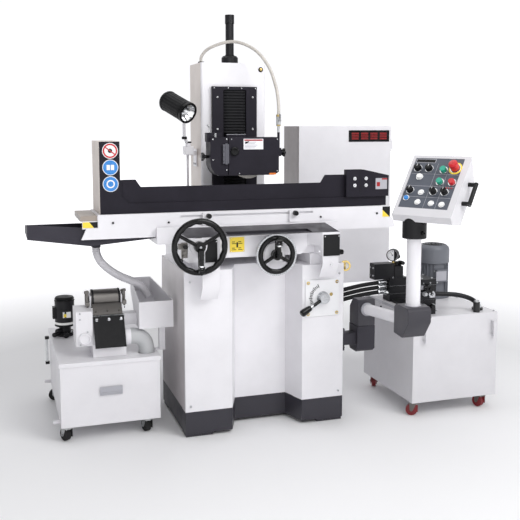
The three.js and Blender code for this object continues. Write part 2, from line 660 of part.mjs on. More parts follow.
// The box is built lying in its own frame: X across the panel, Y into the box, Z up the panel.
function panelGroup() {
  const turn = THREE.MathUtils.degToRad(57);
  const tilt = THREE.MathUtils.degToRad(52);
  const across = new THREE.Vector3(Math.cos(turn), -Math.sin(turn), 0);
  const up = new THREE.Vector3(
    Math.sin(turn) * Math.cos(tilt),
    Math.cos(turn) * Math.cos(tilt),
    Math.sin(tilt),
  );
  const inward = new THREE.Vector3().crossVectors(up, across);
  const frame = new THREE.Matrix4().makeBasis(across, inward, up).setPosition(625, -429, 1193);
  const group = new THREE.Group();
  group.applyMatrix4(frame);
  machine.add(group);
  return { group, frame };
}

function addPendantBox() {
  const { group, frame } = panelGroup();
  const halfWidth = PANEL.width / 2;
  const halfHeight = PANEL.height / 2;
  const side = outline([
    [0, -halfHeight], [0, halfHeight], [PANEL.thickness - 6, 85], [PANEL.thickness, -132],
    [30, -halfHeight - 14],
  ]);
  const shell = prismX(side, -halfWidth, halfWidth);
  const face = box(-126, 112, -1, 2.5, -122, 148);
  const fixed = FIXED_CONTROLS.map(([x, z, radius, length]) => (
    rod(radius, [x, 2.5 - length, z], [x, 6, z], 16)
  ));
  const holes = CONTROLS.map(({ x, z, radius }) => (
    rod(radius * 0.62 + 0.6, [x, 1, z], [x, 26, z], 16)
  ));
  const gripPosts = [-52, 48].map((z) => (
    rod(9, [halfWidth - 3, 52, z], [halfWidth + 34, 52, z], 12)
  ));
  const grip = rod(9, [halfWidth + 34, 52, -61], [halfWidth + 34, 52, 57], 12);
  const panel = join(cut(join(shell, ...gripPosts, grip), face, ...holes), ...fixed);
  const collar = rod(53, [POST.x, POST.y, 958], [POST.x, POST.y, 1072], 32);
  const socket = rod(POST.radius + GAP, [POST.x, POST.y, 950], [POST.x, POST.y, POST.top + GAP], 28);
  part('pendant_box', cut(join(panel.applyMatrix4(frame), collar), socket), WHITE);
  for (const control of CONTROLS) {
    const { name, x, z, radius, length, material } = control;
    const cap = join(
      rod(radius, [x, 2.5 - length, z], [x, 2.5 - GAP - control.travel, z], 20),
      rod(radius * 0.62, [x, 2, z], [x, 14, z], 16),
      rod(radius * 0.62, [x, 2.4 - length * 0.5, z], [x, 4, z], 16),
    );
    part(name, cap, material, group);
  }
}

// ---------- Casters ----------
// A swivel caster: its stem is on the group's Z axis and its wheel trails behind it on the floor.
function addCaster(name, x, y, ceiling, heading, material) {
  const caster = groupAt(x, y, 0);
  caster.rotation.z = THREE.MathUtils.degToRad(heading);
  const radius = 29;
  const trail = 18;
  const body = join(
    rod(22, [0, 0, ceiling - 9], [0, 0, ceiling - GAP], 18),
    box(-17, -13, -14, trail + 9, radius - 8, ceiling - 5),
    box(13, 17, -14, trail + 9, radius - 8, ceiling - 5),
    rod(4.5, [-19, trail, radius], [19, trail, radius], 10),
    rod(radius, [-11, trail, radius], [11, trail, radius], 24),
  );
  part(name, body, material, caster);
}

function addCasters() {
  const hydraulic = [
    [TANK.left + 38, TANK.front + 38, 60], [TANK.right - 60, TANK.front + 38, 20],
    [TANK.left + 38, TANK.back - 50, -30], [TANK.right - 60, TANK.back - 50, 100],
  ];
  hydraulic.forEach(([x, y, heading], i) => {
    addCaster(`hydraulic_caster_${i + 1}`, x, y, TANK.bottom, heading, CASTER_RED);
  });
  const coolant = [
    [COOLANT.left + 36, COOLANT.front + 40, 30], [COOLANT.right - 60, COOLANT.front + 40, 20],
    [COOLANT.left + 36, COOLANT.back - 60, 80], [COOLANT.right - 60, COOLANT.back - 60, -20],
  ];
  coolant.forEach(([x, y, heading], i) => {
    addCaster(`coolant_caster_${i + 1}`, x, y, COOLANT.bottom, heading, RUBBER);
  });
}

// ---------- Hydraulic unit ----------
function addHydraulicUnit() {
  const { left, right, front, back, bottom, top } = TANK;
  const handles = [left + 62, right - 30].map((x) => (
    box(x - 8, x + 8, front - 26, front + 3, 386, 468)
  ));
  const fingerGaps = [left + 62, right - 30].map((x) => (
    box(x - 12, x + 12, front - 17, front - 0.5, 396, 458)
  ));
  const tank = cut(
    join(
      box(left, right, front, back, bottom, top),
      ...handles,
      rod(17, [1107, -76, top - 3], [1107, -76, top + 52], 20),
      rod(28, [1142, -30, top - 3], [1142, -30, top + 12], 20),
    ),
    ...fingerGaps,
    box(left + 5, right - 5, front + 5, back - 5, bottom + 5, top - 5),
    rod(30, [850, 320, top - 10], [850, 320, top + 10], 24),
  );
  part('hydraulic_tank', tank, WHITE);

  const motor = groupAt(1100, 350, top + GAP);
  const body = turned([
    [0, 0], [92, 0], [92, 14], [76, 18], [76, 190], [85, 194], [85, 262], [70, 288], [0, 292],
    [0, 0],
  ], 36);
  part('hydraulic_motor', join(body, box(-34, 34, -104, -60, 96, 164)), MOTOR, motor);

  const gauge = [816, 300, 762];
  const gaugeBack = [gauge[0] + 24, gauge[1] + 14, gauge[2]];
  const returnHose = [
    [880, 20, 600], [940, 10, 598], [1040, -16, 590], [1115, -34, 562], [1142, -36, 530],
  ];
  const block = join(
    box(797, 906, 280, 360, top + GAP, 640),
    box(710, 830, 290, 350, 633, 718),
    box(828, 880, 286, 352, 638, 700),
    rod(6, [828, 307, 700], [828, 307, 745], 12),
    rod(31, gauge, gaugeBack, 24),
    box(800, 885, -50, 80, top + GAP, 690),
    box(806, 880, 75, 285, top + GAP, 524),
    rod(14, [846, -58, 620], [846, -48, 620], 20),
    tube(12, returnHose, 16, 10),
  );
  part('valve_block', block, BLACK);
  HYDRAULIC_HOSES.forEach((points, i) => {
    part(`hydraulic_hose_${i + 1}`, tube(11, points, 16, 10), RUBBER);
  });
}

// ---------- Coolant unit ----------
function addCoolantUnit() {
  const { left, right, front, back, bottom, top } = COOLANT;
  const tank = cut(
    join(
      box(left + 5, right - 5, front + 5, back - 5, bottom, top - 6),
      box(left, right, front, back, top - 20, top),
      rod(9, [left - 28, front + 55, 92], [left + 10, front + 55, 92], 14),
      rod(9, [left - 28, back - 20, 92], [left + 10, back - 20, 92], 14),
    ),
    box(left + 9, right - 9, front + 9, back - 9, bottom + 4, top - 4),
    rod(40, [-545, 190, top - 10], [-545, 190, top + 10], 24),
  );
  part('coolant_tank', tank, WHITE);

  const pump = groupAt(-889, 634, top + GAP);
  const motor = turned([
    [0, 0], [46, 0], [46, 12], [30, 16], [30, 46], [48, 50], [48, 62], [50, 66], [50, 180], [40, 194],
    [0, 198], [0, 0],
  ], 28);
  part('coolant_pump', join(motor, rod(13, [0, 0, 30], [-44, -40, 30], 14)), BLACK, pump);

  const frame = join(
    box(SEPARATOR.left, SEPARATOR.right, 160, 420, top + GAP, 440),
    prismX(outline([[165, 438], [220, 556], [400, 556], [420, 438]]), SEPARATOR.left, SEPARATOR.right),
    box(-874, SEPARATOR.left + 2, 175, 330, 432, 596),
    box(SEPARATOR.left, SEPARATOR.left + 7, 262, 338, 550, 650),
    box(SEPARATOR.right - 7, SEPARATOR.right, 262, 338, 550, 650),
    rod(38, [SEPARATOR.right - 4, 190, 462], [SEPARATOR.right + 42, 190, 462], 24),
    rod(24, [-836, 190, 462], [-806, 190, 462], 20),
  );
  const drumRoom = rod(DRUM.radius + 2,
    [SEPARATOR.left + 7, DRUM.y, DRUM.z], [SEPARATOR.right - 7, DRUM.y, DRUM.z], 32);
  const axleHole = rod(8.4, [SEPARATOR.left - 1, DRUM.y, DRUM.z], [SEPARATOR.right + 1, DRUM.y, DRUM.z], 16);
  const elbow = tube(37, [
    [SEPARATOR.right + 36, 190, 462], [-606, 190, 462], [-575.5, 190, 453.8],
    [-553.2, 190, 431.5], [-545, 190, 401], [-545, 190, top - 2],
  ], 12, 24);
  part('separator_frame', join(cut(frame, drumRoom, axleHole), elbow), WHITE);
  const drum = join(
    rod(DRUM.radius, [SEPARATOR.left + 8, DRUM.y, DRUM.z], [SEPARATOR.right - 8, DRUM.y, DRUM.z], 32),
    rod(8, [SEPARATOR.left - 6, DRUM.y, DRUM.z], [SEPARATOR.right + 6, DRUM.y, DRUM.z], 16),
  );
  part('separator_drum', drum, STEEL);
}

// The hopper is a deep box at the front whose floor slopes up and narrows to its back left.
function addHopper() {
  const mouth = outline([[150, 500], [150, 628], [400, 704], [400, 640], [250, 500]]);
  const hollow = outline([[154, 504], [154, 700], [396, 760], [396, 642], [248, 504]]);
  const taper = outline([[-420, 165], [-350, 165], [-350, 410], [-487, 410]]);
  const innerTaper = outline([[-424.4, 160], [-350, 160], [-350, 410], [-491.6, 410]]);
  const shell = cut(
    cut(prismX(mouth, HOPPER.left, HOPPER.right), prismZ(taper, 490, 780)),
    cut(prismX(hollow, HOPPER.left + 4, HOPPER.right - 4), prismZ(innerTaper, 490, 780)),
  );
  const lip = join(shell, box(SEPARATOR.right + GAP, HOPPER.left + 3, 230, 300, 508, 560));
  const leg = box(-480, -452, 196, 224, COOLANT.top + GAP, 503);
  const standOff = box(-500, -452, 196, 224, COOLANT.top + GAP, COOLANT.top + 8);
  part('inlet_hopper', join(lip, leg, standOff), WHITE);
}

// ---------- Hoses that hang free between two fittings ----------
function addHoses() {
  part('coolant_hose', tube(8.5, COOLANT_ROUTE, 40, 10), HOSE);
  part('drain_hose', tube(20, DRAIN_ROUTE, 18, 12), HOSE);
}

addBase();
addColumn();
addBellows();
addSaddle();
addCoolantTray();
addHandwheels();
addSpeedLever();
addTable();
addSplashGuards();
addReverseDog('reverse_dog_left', -254);
addReverseDog('reverse_dog_right', 185);
addWheelHead();
addSpindle();
addWheelGuard();
addLamp();
addCabinet();
addPendantArm();
addPendantBox();
addHydraulicUnit();
addCoolantUnit();
addHopper();
addCasters();
addHoses();

// Move the origin from the layout frame to the middle of the bounding box's bottom.
machine.updateMatrixWorld(true);
const bounds = new THREE.Box3().setFromObject(machine, true);
const middle = bounds.getCenter(new THREE.Vector3());
machine.position.set(-middle.x, -middle.y, -bounds.min.z);

export default machine;
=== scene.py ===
"""Looks for the surface grinder: materials, small fittings, hoses, light and camera.

Lengths in the layout tables are millimetres in the layout frame of the CAD part: X = 0 in the
middle of the base, Y = 0 on the front of its pillars, Z = 0 on the floor. at() turns them into
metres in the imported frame.
"""

import math

import bmesh
import bpy
from mathutils import Matrix, Vector


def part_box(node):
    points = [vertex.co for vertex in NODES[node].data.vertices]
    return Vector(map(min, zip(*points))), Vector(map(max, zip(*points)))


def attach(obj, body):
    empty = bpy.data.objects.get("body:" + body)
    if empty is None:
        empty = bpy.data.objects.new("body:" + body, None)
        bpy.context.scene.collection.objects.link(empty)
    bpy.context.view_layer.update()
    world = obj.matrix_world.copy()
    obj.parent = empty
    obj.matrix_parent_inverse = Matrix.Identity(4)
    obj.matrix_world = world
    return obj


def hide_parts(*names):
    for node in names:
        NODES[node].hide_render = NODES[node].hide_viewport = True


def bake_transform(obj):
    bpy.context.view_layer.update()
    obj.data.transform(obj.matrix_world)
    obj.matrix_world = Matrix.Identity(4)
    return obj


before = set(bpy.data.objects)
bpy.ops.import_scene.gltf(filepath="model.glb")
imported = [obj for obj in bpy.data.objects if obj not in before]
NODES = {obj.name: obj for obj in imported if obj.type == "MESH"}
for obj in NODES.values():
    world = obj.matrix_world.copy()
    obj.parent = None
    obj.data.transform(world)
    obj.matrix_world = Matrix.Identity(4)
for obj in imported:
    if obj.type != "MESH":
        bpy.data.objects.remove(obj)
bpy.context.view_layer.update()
MM = 0.001
FORWARD, LEFT, RIGHT, ABOVE = (0, -1, 0), (-1, 0, 0), (1, 0, 0), (0, 0, 1)
BOX_FACES = ((0, 1, 2, 3), (7, 6, 5, 4), (0, 4, 5, 1), (1, 5, 6, 2), (2, 6, 7, 3), (3, 7, 4, 0))
BASE_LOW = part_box("base_casting")[0]
ORIGIN = Vector((BASE_LOW.x + 399 * MM, BASE_LOW.y + 4 * MM, 0))


def at(x, y, z):
    """A point of the layout frame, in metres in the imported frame."""
    return ORIGIN + Vector((x, y, z)) * MM


def placed(name, data):
    """A new object in the scene that shows a mesh, light or camera."""
    made = bpy.data.objects.new(name, data)
    bpy.context.scene.collection.objects.link(made)
    return made


def mesh_of(name, build):
    """The finished mesh of a bmesh, which is freed."""
    data = bpy.data.meshes.new(name)
    build.to_mesh(data)
    build.free()
    return data


def bridge(mesh, rings, closed=True):
    """Quads between each ring of vertices and the next; closed rings join end to start."""
    for near, far in zip(rings, rings[1:]):
        for i in range(len(near) if closed else len(near) - 1):
            j = (i + 1) % len(near)
            mesh.faces.new((near[i], near[j], far[j], far[i]))


# ---------- Camera ----------
CAMERA_PLACE = (-1210, -3569, 1450)
CAMERA_TILT, CAMERA_HEADING = 83.7, -18.25
FOCAL_LENGTH, SENSOR_WIDTH = 55.8, 36
FRAME_SHIFT = -0.0846
SIGHT_LIMIT = 60


def add_camera():
    data = bpy.data.cameras.new("camera")
    camera = placed("camera", data)
    camera.location = at(*CAMERA_PLACE)
    camera.rotation_euler = (math.radians(CAMERA_TILT), 0, math.radians(CAMERA_HEADING))
    data.lens = FOCAL_LENGTH
    data.sensor_width = SENSOR_WIDTH
    data.shift_y = FRAME_SHIFT
    data.clip_end = SIGHT_LIMIT
    bpy.context.scene.camera = camera


add_camera()

# ---------- Materials ----------
WHITE = (0.80, 0.79, 0.82)
# SHADE_BEIGE: the white enamel with painted shade, for faces turned away from the light.
SHADE_BEIGE = (0.66, 0.60, 0.56)
SHADED = (0.50, 0.47, 0.48)
CHARCOAL = (0.0175, 0.0158, 0.0225)
# SHADE_TAN: a brownish white with painted shade.
SHADE_TAN = (0.34, 0.29, 0.25)
# TRAY_GREY: a charcoal a little lighter than CHARCOAL. On the coolant tray it is painted light, the
# charcoal sheet made lighter because it faces the light; on the pendant arm and its bracket it is the
# colour of the dark elbows and bracket.
TRAY_GREY = (0.040, 0.038, 0.048)
PLINTH = (0.034, 0.032, 0.042)
BLACK = (0.012, 0.012, 0.013)
DARK_GREY = (0.19, 0.17, 0.17)
STEEL = (0.56, 0.57, 0.59)
CHROME = (0.80, 0.81, 0.82)
BRASS = (0.66, 0.50, 0.20)
ZINC = (0.50, 0.51, 0.52)
RED = (0.55, 0.012, 0.018)
GREEN = (0.01, 0.36, 0.24)
YELLOW = (0.92, 0.70, 0.06)
BLUE = (0.02, 0.22, 0.62)
MOTOR_BLUE = (0.15, 0.158, 0.18)
PANEL_GREY = (0.085, 0.095, 0.12)


class Shader:
    """A node tree around one Principled shader, with small builders for its inputs."""

    def __init__(self, name):
        self.material = bpy.data.materials.new(name)
        self.material.use_nodes = True
        self.nodes = self.material.node_tree.nodes
        self.links = self.material.node_tree.links
        self.main = self.nodes["Principled BSDF"]
        self.place = self.add("ShaderNodeTexCoord").outputs["Object"]

    def add(self, kind, **settings):
        node = self.nodes.new(kind)
        for key, value in settings.items():
            setattr(node, key, value)
        return node

    def set(self, socket, value):
        """Sets an input, or the main shader's input of that name, to a value or a node's output."""
        if isinstance(socket, str):
            socket = self.main.inputs[socket]
        if isinstance(value, bpy.types.NodeSocket):
            self.links.new(value, socket)
        elif isinstance(value, tuple) and len(value) == 3 and socket.type == "RGBA":
            socket.default_value = (*value, 1)
        else:
            socket.default_value = value

    def math(self, operation, a, b=0.0):
        node = self.add("ShaderNodeMath", operation=operation)
        self.set(node.inputs[0], a)
        self.set(node.inputs[1], b)
        return node.outputs[0]

    def noise(self, scale, detail=3, roughness=0.5, place=None):
        node = self.add("ShaderNodeTexNoise")
        self.links.new(place or self.place, node.inputs["Vector"])
        node.inputs["Scale"].default_value = scale
        node.inputs["Detail"].default_value = detail
        node.inputs["Roughness"].default_value = roughness
        return node.outputs["Fac"]

    def remap(self, value, low, high, start=0.3, end=0.7):
        node = self.add("ShaderNodeMapRange")
        self.set(node.inputs["Value"], value)
        node.inputs["From Min"].default_value = start
        node.inputs["From Max"].default_value = end
        node.inputs["To Min"].default_value = low
        node.inputs["To Max"].default_value = high
        return node.outputs["Result"]

    def mix(self, share, a, b):
        node = self.add("ShaderNodeMix", data_type="RGBA")
        self.set(node.inputs[0], share)
        self.set(node.inputs[6], a)
        self.set(node.inputs[7], b)
        return node.outputs[2]

    def stretched(self, scale):
        node = self.add("ShaderNodeMapping")
        self.links.new(self.place, node.inputs["Vector"])
        node.inputs["Scale"].default_value = scale
        return node.outputs["Vector"]

    def bump(self, height, strength, distance):
        node = self.add("ShaderNodeBump")
        node.inputs["Strength"].default_value = strength
        node.inputs["Distance"].default_value = distance
        self.links.new(height, node.inputs["Height"])
        self.links.new(node.outputs["Normal"], self.main.inputs["Normal"])

    def inside(self, walls):
        """1 where the point lies beyond every wall, given as (normal, distance in metres)."""
        share = 1.0
        for normal, distance in walls:
            dot = self.add("ShaderNodeVectorMath", operation="DOT_PRODUCT")
            self.links.new(self.place, dot.inputs[0])
            dot.inputs[1].default_value = normal
            share = self.math(
                "MULTIPLY", self.math("GREATER_THAN", dot.outputs["Value"], distance), share
            )
        return share


def shade(colour, factor):
    return tuple(min(1.0, channel * factor) for channel in colour)


def paint(name, colour, rough=0.38, grain=0.05, peel=0.10, zones=()):
    """Sprayed enamel: slight cloudiness, orange-peel bump and uneven gloss, with painted zones."""
    shader = Shader(name)
    cloud = shader.remap(shader.noise(5, 4, 0.6), 0.0, 1.0)
    base = shader.mix(cloud, shade(colour, 1 - grain), shade(colour, 1 + grain * 0.5))
    for zone_colour, walls in zones:
        mottled = shader.mix(cloud, shade(zone_colour, 0.94), shade(zone_colour, 1.04))
        base = shader.mix(shader.inside(walls), base, mottled)
    shader.set("Base Color", base)
    shader.set("Specular IOR Level", 0.2 if max(colour) < 0.1 else 0.45)
    gloss = shader.remap(shader.noise(14, 5, 0.65), rough - 0.06, rough + 0.08)
    shader.set("Roughness", gloss)
    shader.bump(shader.noise(420, 2), peel, 0.0006)
    return shader.material


def wrinkle(name, colour, rough=0.5, zones=()):
    """Textured charcoal enamel, as on sheet-metal guards."""
    shader = Shader(name)
    cloud = shader.remap(shader.noise(4, 5, 0.6), 0.0, 1.0)
    base = shader.mix(cloud, shade(colour, 0.85), shade(colour, 1.25))
    for zone_colour, walls in zones:
        base = shader.mix(shader.inside(walls), base, zone_colour)
    shader.set("Base Color", base)
    shader.set("Specular IOR Level", 0.12)
    gloss = shader.remap(shader.noise(20, 4, 0.6), rough - 0.1, rough + 0.1)
    shader.set("Roughness", gloss)
    shader.bump(shader.noise(900, 3, 0.6), 0.35, 0.0005)
    return shader.material


def metal(name, colour, rough=0.28, grain=(4, 4, 400), strength=0.15):
    """Bare metal with fine directional marks; grain is the noise frequency along X, Y and Z."""
    shader = Shader(name)
    lines = shader.noise(1.0, 4, 0.7, place=shader.stretched(grain))
    smears = shader.remap(shader.noise(9, 4, 0.6), 0.0, 1.0)
    shader.set("Base Color", shader.mix(smears, shade(colour, 0.86), colour))
    shader.set("Roughness", shader.remap(lines, rough - 0.08, rough + 0.12))
    shader.set("Metallic", 1.0)
    shader.bump(lines, strength, 0.0003)
    return shader.material


def moulded(name, colour, rough=0.35, coat=0.0, fine=700, strength=0.08):
    """Moulded plastic or rubber with a faint grain and handling smears."""
    shader = Shader(name)
    smears = shader.remap(shader.noise(25, 4, 0.6), 0.0, 1.0)
    base = shader.mix(smears, shade(colour, 0.88), shade(colour, 1.1))
    shader.set("Base Color", base)
    shader.set("Roughness", shader.remap(smears, rough - 0.05, rough + 0.1))
    shader.set("Coat Weight", coat * 0.4 if max(colour) < 0.1 else coat)
    shader.set("Specular IOR Level", 0.2 if max(colour) < 0.1 else 0.45)
    shader.bump(shader.noise(fine, 3), strength, 0.0004)
    return shader.material


def abrasive():
    """Bonded grinding grain: pale speckled grit."""
    shader = Shader("abrasive_grit")
    cells = shader.add("ShaderNodeTexVoronoi")
    shader.links.new(shader.place, cells.inputs["Vector"])
    cells.inputs["Scale"].default_value = 900
    grit = shader.mix(cells.outputs["Distance"], (0.86, 0.84, 0.80), (0.52, 0.49, 0.46))
    shader.set("Base Color", grit)
    shader.set("Roughness", 0.95)
    shader.bump(cells.outputs["Distance"], 0.6, 0.0005)
    return shader.material


def galvanised(name):
    """Zinc sheet with its spangle."""
    shader = Shader(name)
    cells = shader.add("ShaderNodeTexVoronoi")
    shader.links.new(shader.place, cells.inputs["Vector"])
    cells.inputs["Scale"].default_value = 90
    share = shader.remap(cells.outputs["Color"], 0.0, 1.0)
    shader.set("Base Color", shader.mix(share, shade(ZINC, 0.8), ZINC))
    shader.set("Roughness", shader.remap(shader.noise(30), 0.25, 0.45))
    shader.set("Metallic", 1.0)
    return shader.material


def beyond(axis, value, side=1):
    """A wall across an axis at a layout coordinate. The zone lies above it, or below if side is -1."""
    normal = [0.0, 0.0, 0.0]
    normal["xyz".index(axis)] = float(side)
    place = at(value, value, value)["xyz".index(axis)]
    return tuple(normal), side * place


M = {
    "black_gloss": moulded("black_gloss", shade(BLACK, 0.45), 0.2, coat=0.3, fine=300, strength=0.02),
    "black_satin": moulded("black_satin", BLACK, 0.42),
    "black_paint": paint("black_paint", (0.016, 0.016, 0.018), 0.33, peel=0.15),
    "rubber": moulded("rubber", (0.02, 0.02, 0.021), 0.75, fine=500, strength=0.25),
    "bellows": moulded("bellows_cloth", (0.016, 0.016, 0.018), 0.62, fine=1500, strength=0.4),
    "steel": metal("ground_steel", STEEL, 0.26),
    "dark_steel": metal("worn_steel", (0.20, 0.19, 0.18), 0.36, grain=(3, 90, 90)),
    "table_steel": metal("chuck_steel", (0.42, 0.43, 0.45), 0.30, grain=(300, 4, 4)),
    "chrome": metal("chrome_plate", CHROME, 0.12, strength=0.02),
    "brass": metal("brass", BRASS, 0.25),
    "zinc": galvanised("galvanised_sheet"),
    "white_plastic": moulded("white_plastic", (0.86, 0.86, 0.84), 0.3, coat=0.3),
    "red_plastic": moulded("red_plastic", RED, 0.3, coat=0.4, strength=0.03),
    "green_plastic": moulded("green_plastic", GREEN, 0.3, coat=0.4, strength=0.03),
    "blue_plastic": moulded("blue_plastic", BLUE, 0.3, coat=0.4, strength=0.03),
    "yellow_plate": paint("yellow_plate", YELLOW, 0.35, peel=0.03),
    "white_plate": paint("white_plate", (0.84, 0.84, 0.86), 0.35, peel=0.03),
    "grey_plate": paint("grey_plate", (0.42, 0.42, 0.46), 0.4, peel=0.03),
    "red_plate": paint("red_plate", (0.36, 0.008, 0.010), 0.4, peel=0.03),
    "panel_face": paint("panel_face", PANEL_GREY, 0.45, peel=0.05),
    "white_paint": paint("white_enamel", WHITE, 0.36),
    "charcoal": wrinkle("charcoal_enamel", CHARCOAL),
    "orange_paint": paint("orange_paint", (0.80, 0.20, 0.02), 0.4, peel=0.03),
    "hinge_grey": paint("hinge_grey", (0.10, 0.10, 0.12), 0.35),
    "label_white": paint("label_white", (0.86, 0.86, 0.86), 0.4, peel=0.02),
    "motor_paint": paint("motor_cover_enamel", MOTOR_BLUE, 0.42),
    "hose_beige": moulded("hose_beige", (0.56, 0.53, 0.49), 0.5),
    "hose_grey": moulded("hose_grey", (0.60, 0.59, 0.62), 0.5),
    "caster_red": moulded("caster_red", (0.42, 0.02, 0.02), 0.4),
    "glass": moulded("gauge_glass", (0.75, 0.77, 0.78), 0.06, coat=1.0, strength=0.0),
}


# ---------- Mesh building ----------
class Build:
    """Collects simple shapes, given in the layout frame, into one piece."""

    def __init__(self):
        self.mesh = bmesh.new()

    def box(self, low, high):
        """A box between two opposite corners."""
        a, b = at(*low), at(*high)
        size = Vector(abs(b[i] - a[i]) for i in range(3))
        made = bmesh.ops.create_cube(self.mesh, size=1)["verts"]
        place = Matrix.Translation((a + b) / 2) @ Matrix.Diagonal((*size, 1))
        bmesh.ops.transform(self.mesh, matrix=place, verts=made)
        return self

    def rod(self, start, end, radius, end_radius=None, sides=32):
        """A round bar between two points."""
        a, b = at(*start), at(*end)
        made = bmesh.ops.create_cone(
            self.mesh,
            cap_ends=True,
            segments=sides,
            radius1=radius * MM,
            radius2=(radius if end_radius is None else end_radius) * MM,
            depth=(b - a).length,
        )["verts"]
        place = Matrix.Translation((a + b) / 2) @ aim(b - a)
        bmesh.ops.transform(self.mesh, matrix=place, verts=made)
        return self

    def turned(self, origin, direction, profile, sides=40):
        """A closed outline of (radius, height) pairs turned about a line through origin."""
        place = Matrix.Translation(at(*origin)) @ aim(Vector(direction))
        rings = []
        for radius, height in profile:
            ring = []
            for i in range(sides):
                angle = math.tau * i / sides
                point = Vector((radius * math.cos(angle), radius * math.sin(angle), height)) * MM
                ring.append(self.mesh.verts.new(place @ point))
            rings.append(ring)
        bridge(self.mesh, [*rings, rings[0]])
        return self

    def ring(self, origin, direction, inner, outer, height, sides=40):
        """A flat ring that rises from origin along direction."""
        profile = [
            (inner, 0), (outer, 0), (outer, height * 0.7), (outer - 0.6, height), (inner, height),
        ]
        return self.turned(origin, direction, profile, sides)

    def cap_screw(self, origin, direction, radius):
        """A socket head screw standing on origin."""
        return self.turned(
            origin,
            direction,
            [(0.01, 0), (radius, 0), (radius, radius), (radius * 0.85, radius * 1.2),
             (radius * 0.5, radius * 1.2), (radius * 0.45, radius * 0.5), (0.01, radius * 0.5)],
            20,
        )

    def screws(self, places, direction, radius):
        """Socket head screws of one size, all facing the same way."""
        for place in places:
            self.cap_screw(place, direction, radius)
        return self

    def hexagon(self, start, end, radius):
        """A hexagon nut or fitting between two points."""
        return self.rod(start, end, radius, sides=6)

    def done(self, name, material, body, bevel):
        """Hands the piece over: one material, rounded edges, riding on a body of the frame."""
        bmesh.ops.recalc_face_normals(self.mesh, faces=self.mesh.faces)
        data = mesh_of(name, self.mesh)
        piece = placed(name, data)
        data.materials.append(M[material])
        soften(piece, bevel)
        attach(piece, body)


def hexahedron(build, points):
    """A block with eight corners: four round one side, then the four behind them."""
    corners = [build.mesh.verts.new(at(*point)) for point in points]
    for face in BOX_FACES:
        build.mesh.faces.new([corners[i] for i in face])


def prism(build, first, second):
    """A body between two matching outlines of layout points."""
    near = [build.mesh.verts.new(at(*point)) for point in first]
    far = [build.mesh.verts.new(at(*point)) for point in second]
    build.mesh.faces.new(near)
    build.mesh.faces.new(far[::-1])
    for i in range(len(near)):
        j = (i + 1) % len(near)
        build.mesh.faces.new((near[j], near[i], far[i], far[j]))


def box_piece(name, material, body, bevel, *corners):
    """A piece made of plain boxes, given as pairs of opposite corners."""
    build = Build()
    for low, high in zip(corners[::2], corners[1::2]):
        build.box(low, high)
    build.done(name, material, body, bevel)


def aim(direction):
    """A rotation that takes +Z to a direction."""
    return Vector(ABOVE).rotation_difference(Vector(direction).normalized()).to_matrix().to_4x4()


def soften(piece, bevel):
    """Rounded edges and even shading. bevel is in millimetres."""
    for face in piece.data.polygons:
        face.use_smooth = True
    weld = piece.modifiers.new("weld", "WELD")
    weld.merge_threshold = 0.00002
    if bevel:
        edge = piece.modifiers.new("bevel", "BEVEL")
        edge.width = bevel * MM
        edge.segments = 2
        edge.limit_method = "ANGLE"
        edge.angle_limit = math.radians(38)
    normals = piece.modifiers.new("normals", "WEIGHTED_NORMAL")
    normals.keep_sharp = False
    normals.weight = 60


def spline(points, step=6):
    """A smooth line through layout points, as packed-frame points about every step millimetres."""
    line = [at(*p) for p in points]
    line = [line[0] * 2 - line[1], *line, line[-1] * 2 - line[-2]]
    found = []
    for a, b, c, d in zip(line, line[1:], line[2:], line[3:]):
        count = max(2, round((c - b).length / (step * MM)))
        for i in range(count):
            t = i / count
            found.append(
                0.5 * ((2 * b) + (c - a) * t + (2 * a - 5 * b + 4 * c - d) * t * t
                       + (3 * b - a - 3 * c + d) * t ** 3)
            )
    found.append(line[-2])
    return found


def tube(name, points, radius, material, rib=0.0, pitch=6, step=2.0, sides=20):
    """A mesh tube along layout points. rib is how far its corrugation dips, in millimetres."""
    line = spline(points, step)
    data = bmesh.new()
    normal = Vector((0, 1, 0))
    rings, run = [], 0.0
    for i, point in enumerate(line):
        ahead = line[min(i + 1, len(line) - 1)] - line[max(i - 1, 0)]
        tangent = ahead.normalized()
        normal = (normal - tangent * normal.dot(tangent)).normalized()
        side = tangent.cross(normal)
        run += (point - line[max(i - 1, 0)]).length / MM
        reach = (radius - rib * (0.5 - 0.5 * math.cos(math.tau * run / pitch))) * MM
        rings.append([
            data.verts.new(point + (normal * math.cos(a) + side * math.sin(a)) * reach)
            for a in (math.tau * k / sides for k in range(sides))
        ])
    bridge(data, rings)
    data.faces.new(list(reversed(rings[0])))
    data.faces.new(rings[-1])
    mesh = mesh_of(name, data)
    mesh.shade_smooth()
    mesh.materials.append(M[material])
    return placed(name, mesh), line


# ---------- Hoses ----------
COOLANT_ROUTE = [
    (-130, 720, 1785), (-128, 715, 1830), (-90, 660, 1872), (0, 560, 1895), (75, 440, 1850),
    (125, 350, 1760), (147, 290, 1650), (153, 268, 1560), (153, 268, 1502),
]
DRAIN_ROUTE = [
    (-760, 300, 877), (-757, 300, 846), (-738, 300, 806), (-700, 300, 768), (-650, 300, 733),
    (-595, 299, 707), (-545, 297, 680), (-512, 294, 626),
]
HYDRAULIC_ROUTES = [
    [(795, 318, 612 - drop), (740, 316, 611 - drop), (640, 302, 606 - drop),
     (520, 282, 592 - drop), (430, 270, 574 - drop), (402, 268, 570 - drop)]
    for drop in (0, 26, 52)
]


def declare_hose(line):
    path = line[::max(1, len(line) // 38)]
    if path[-1] != line[-1]:
        path = [*path, line[-1]]


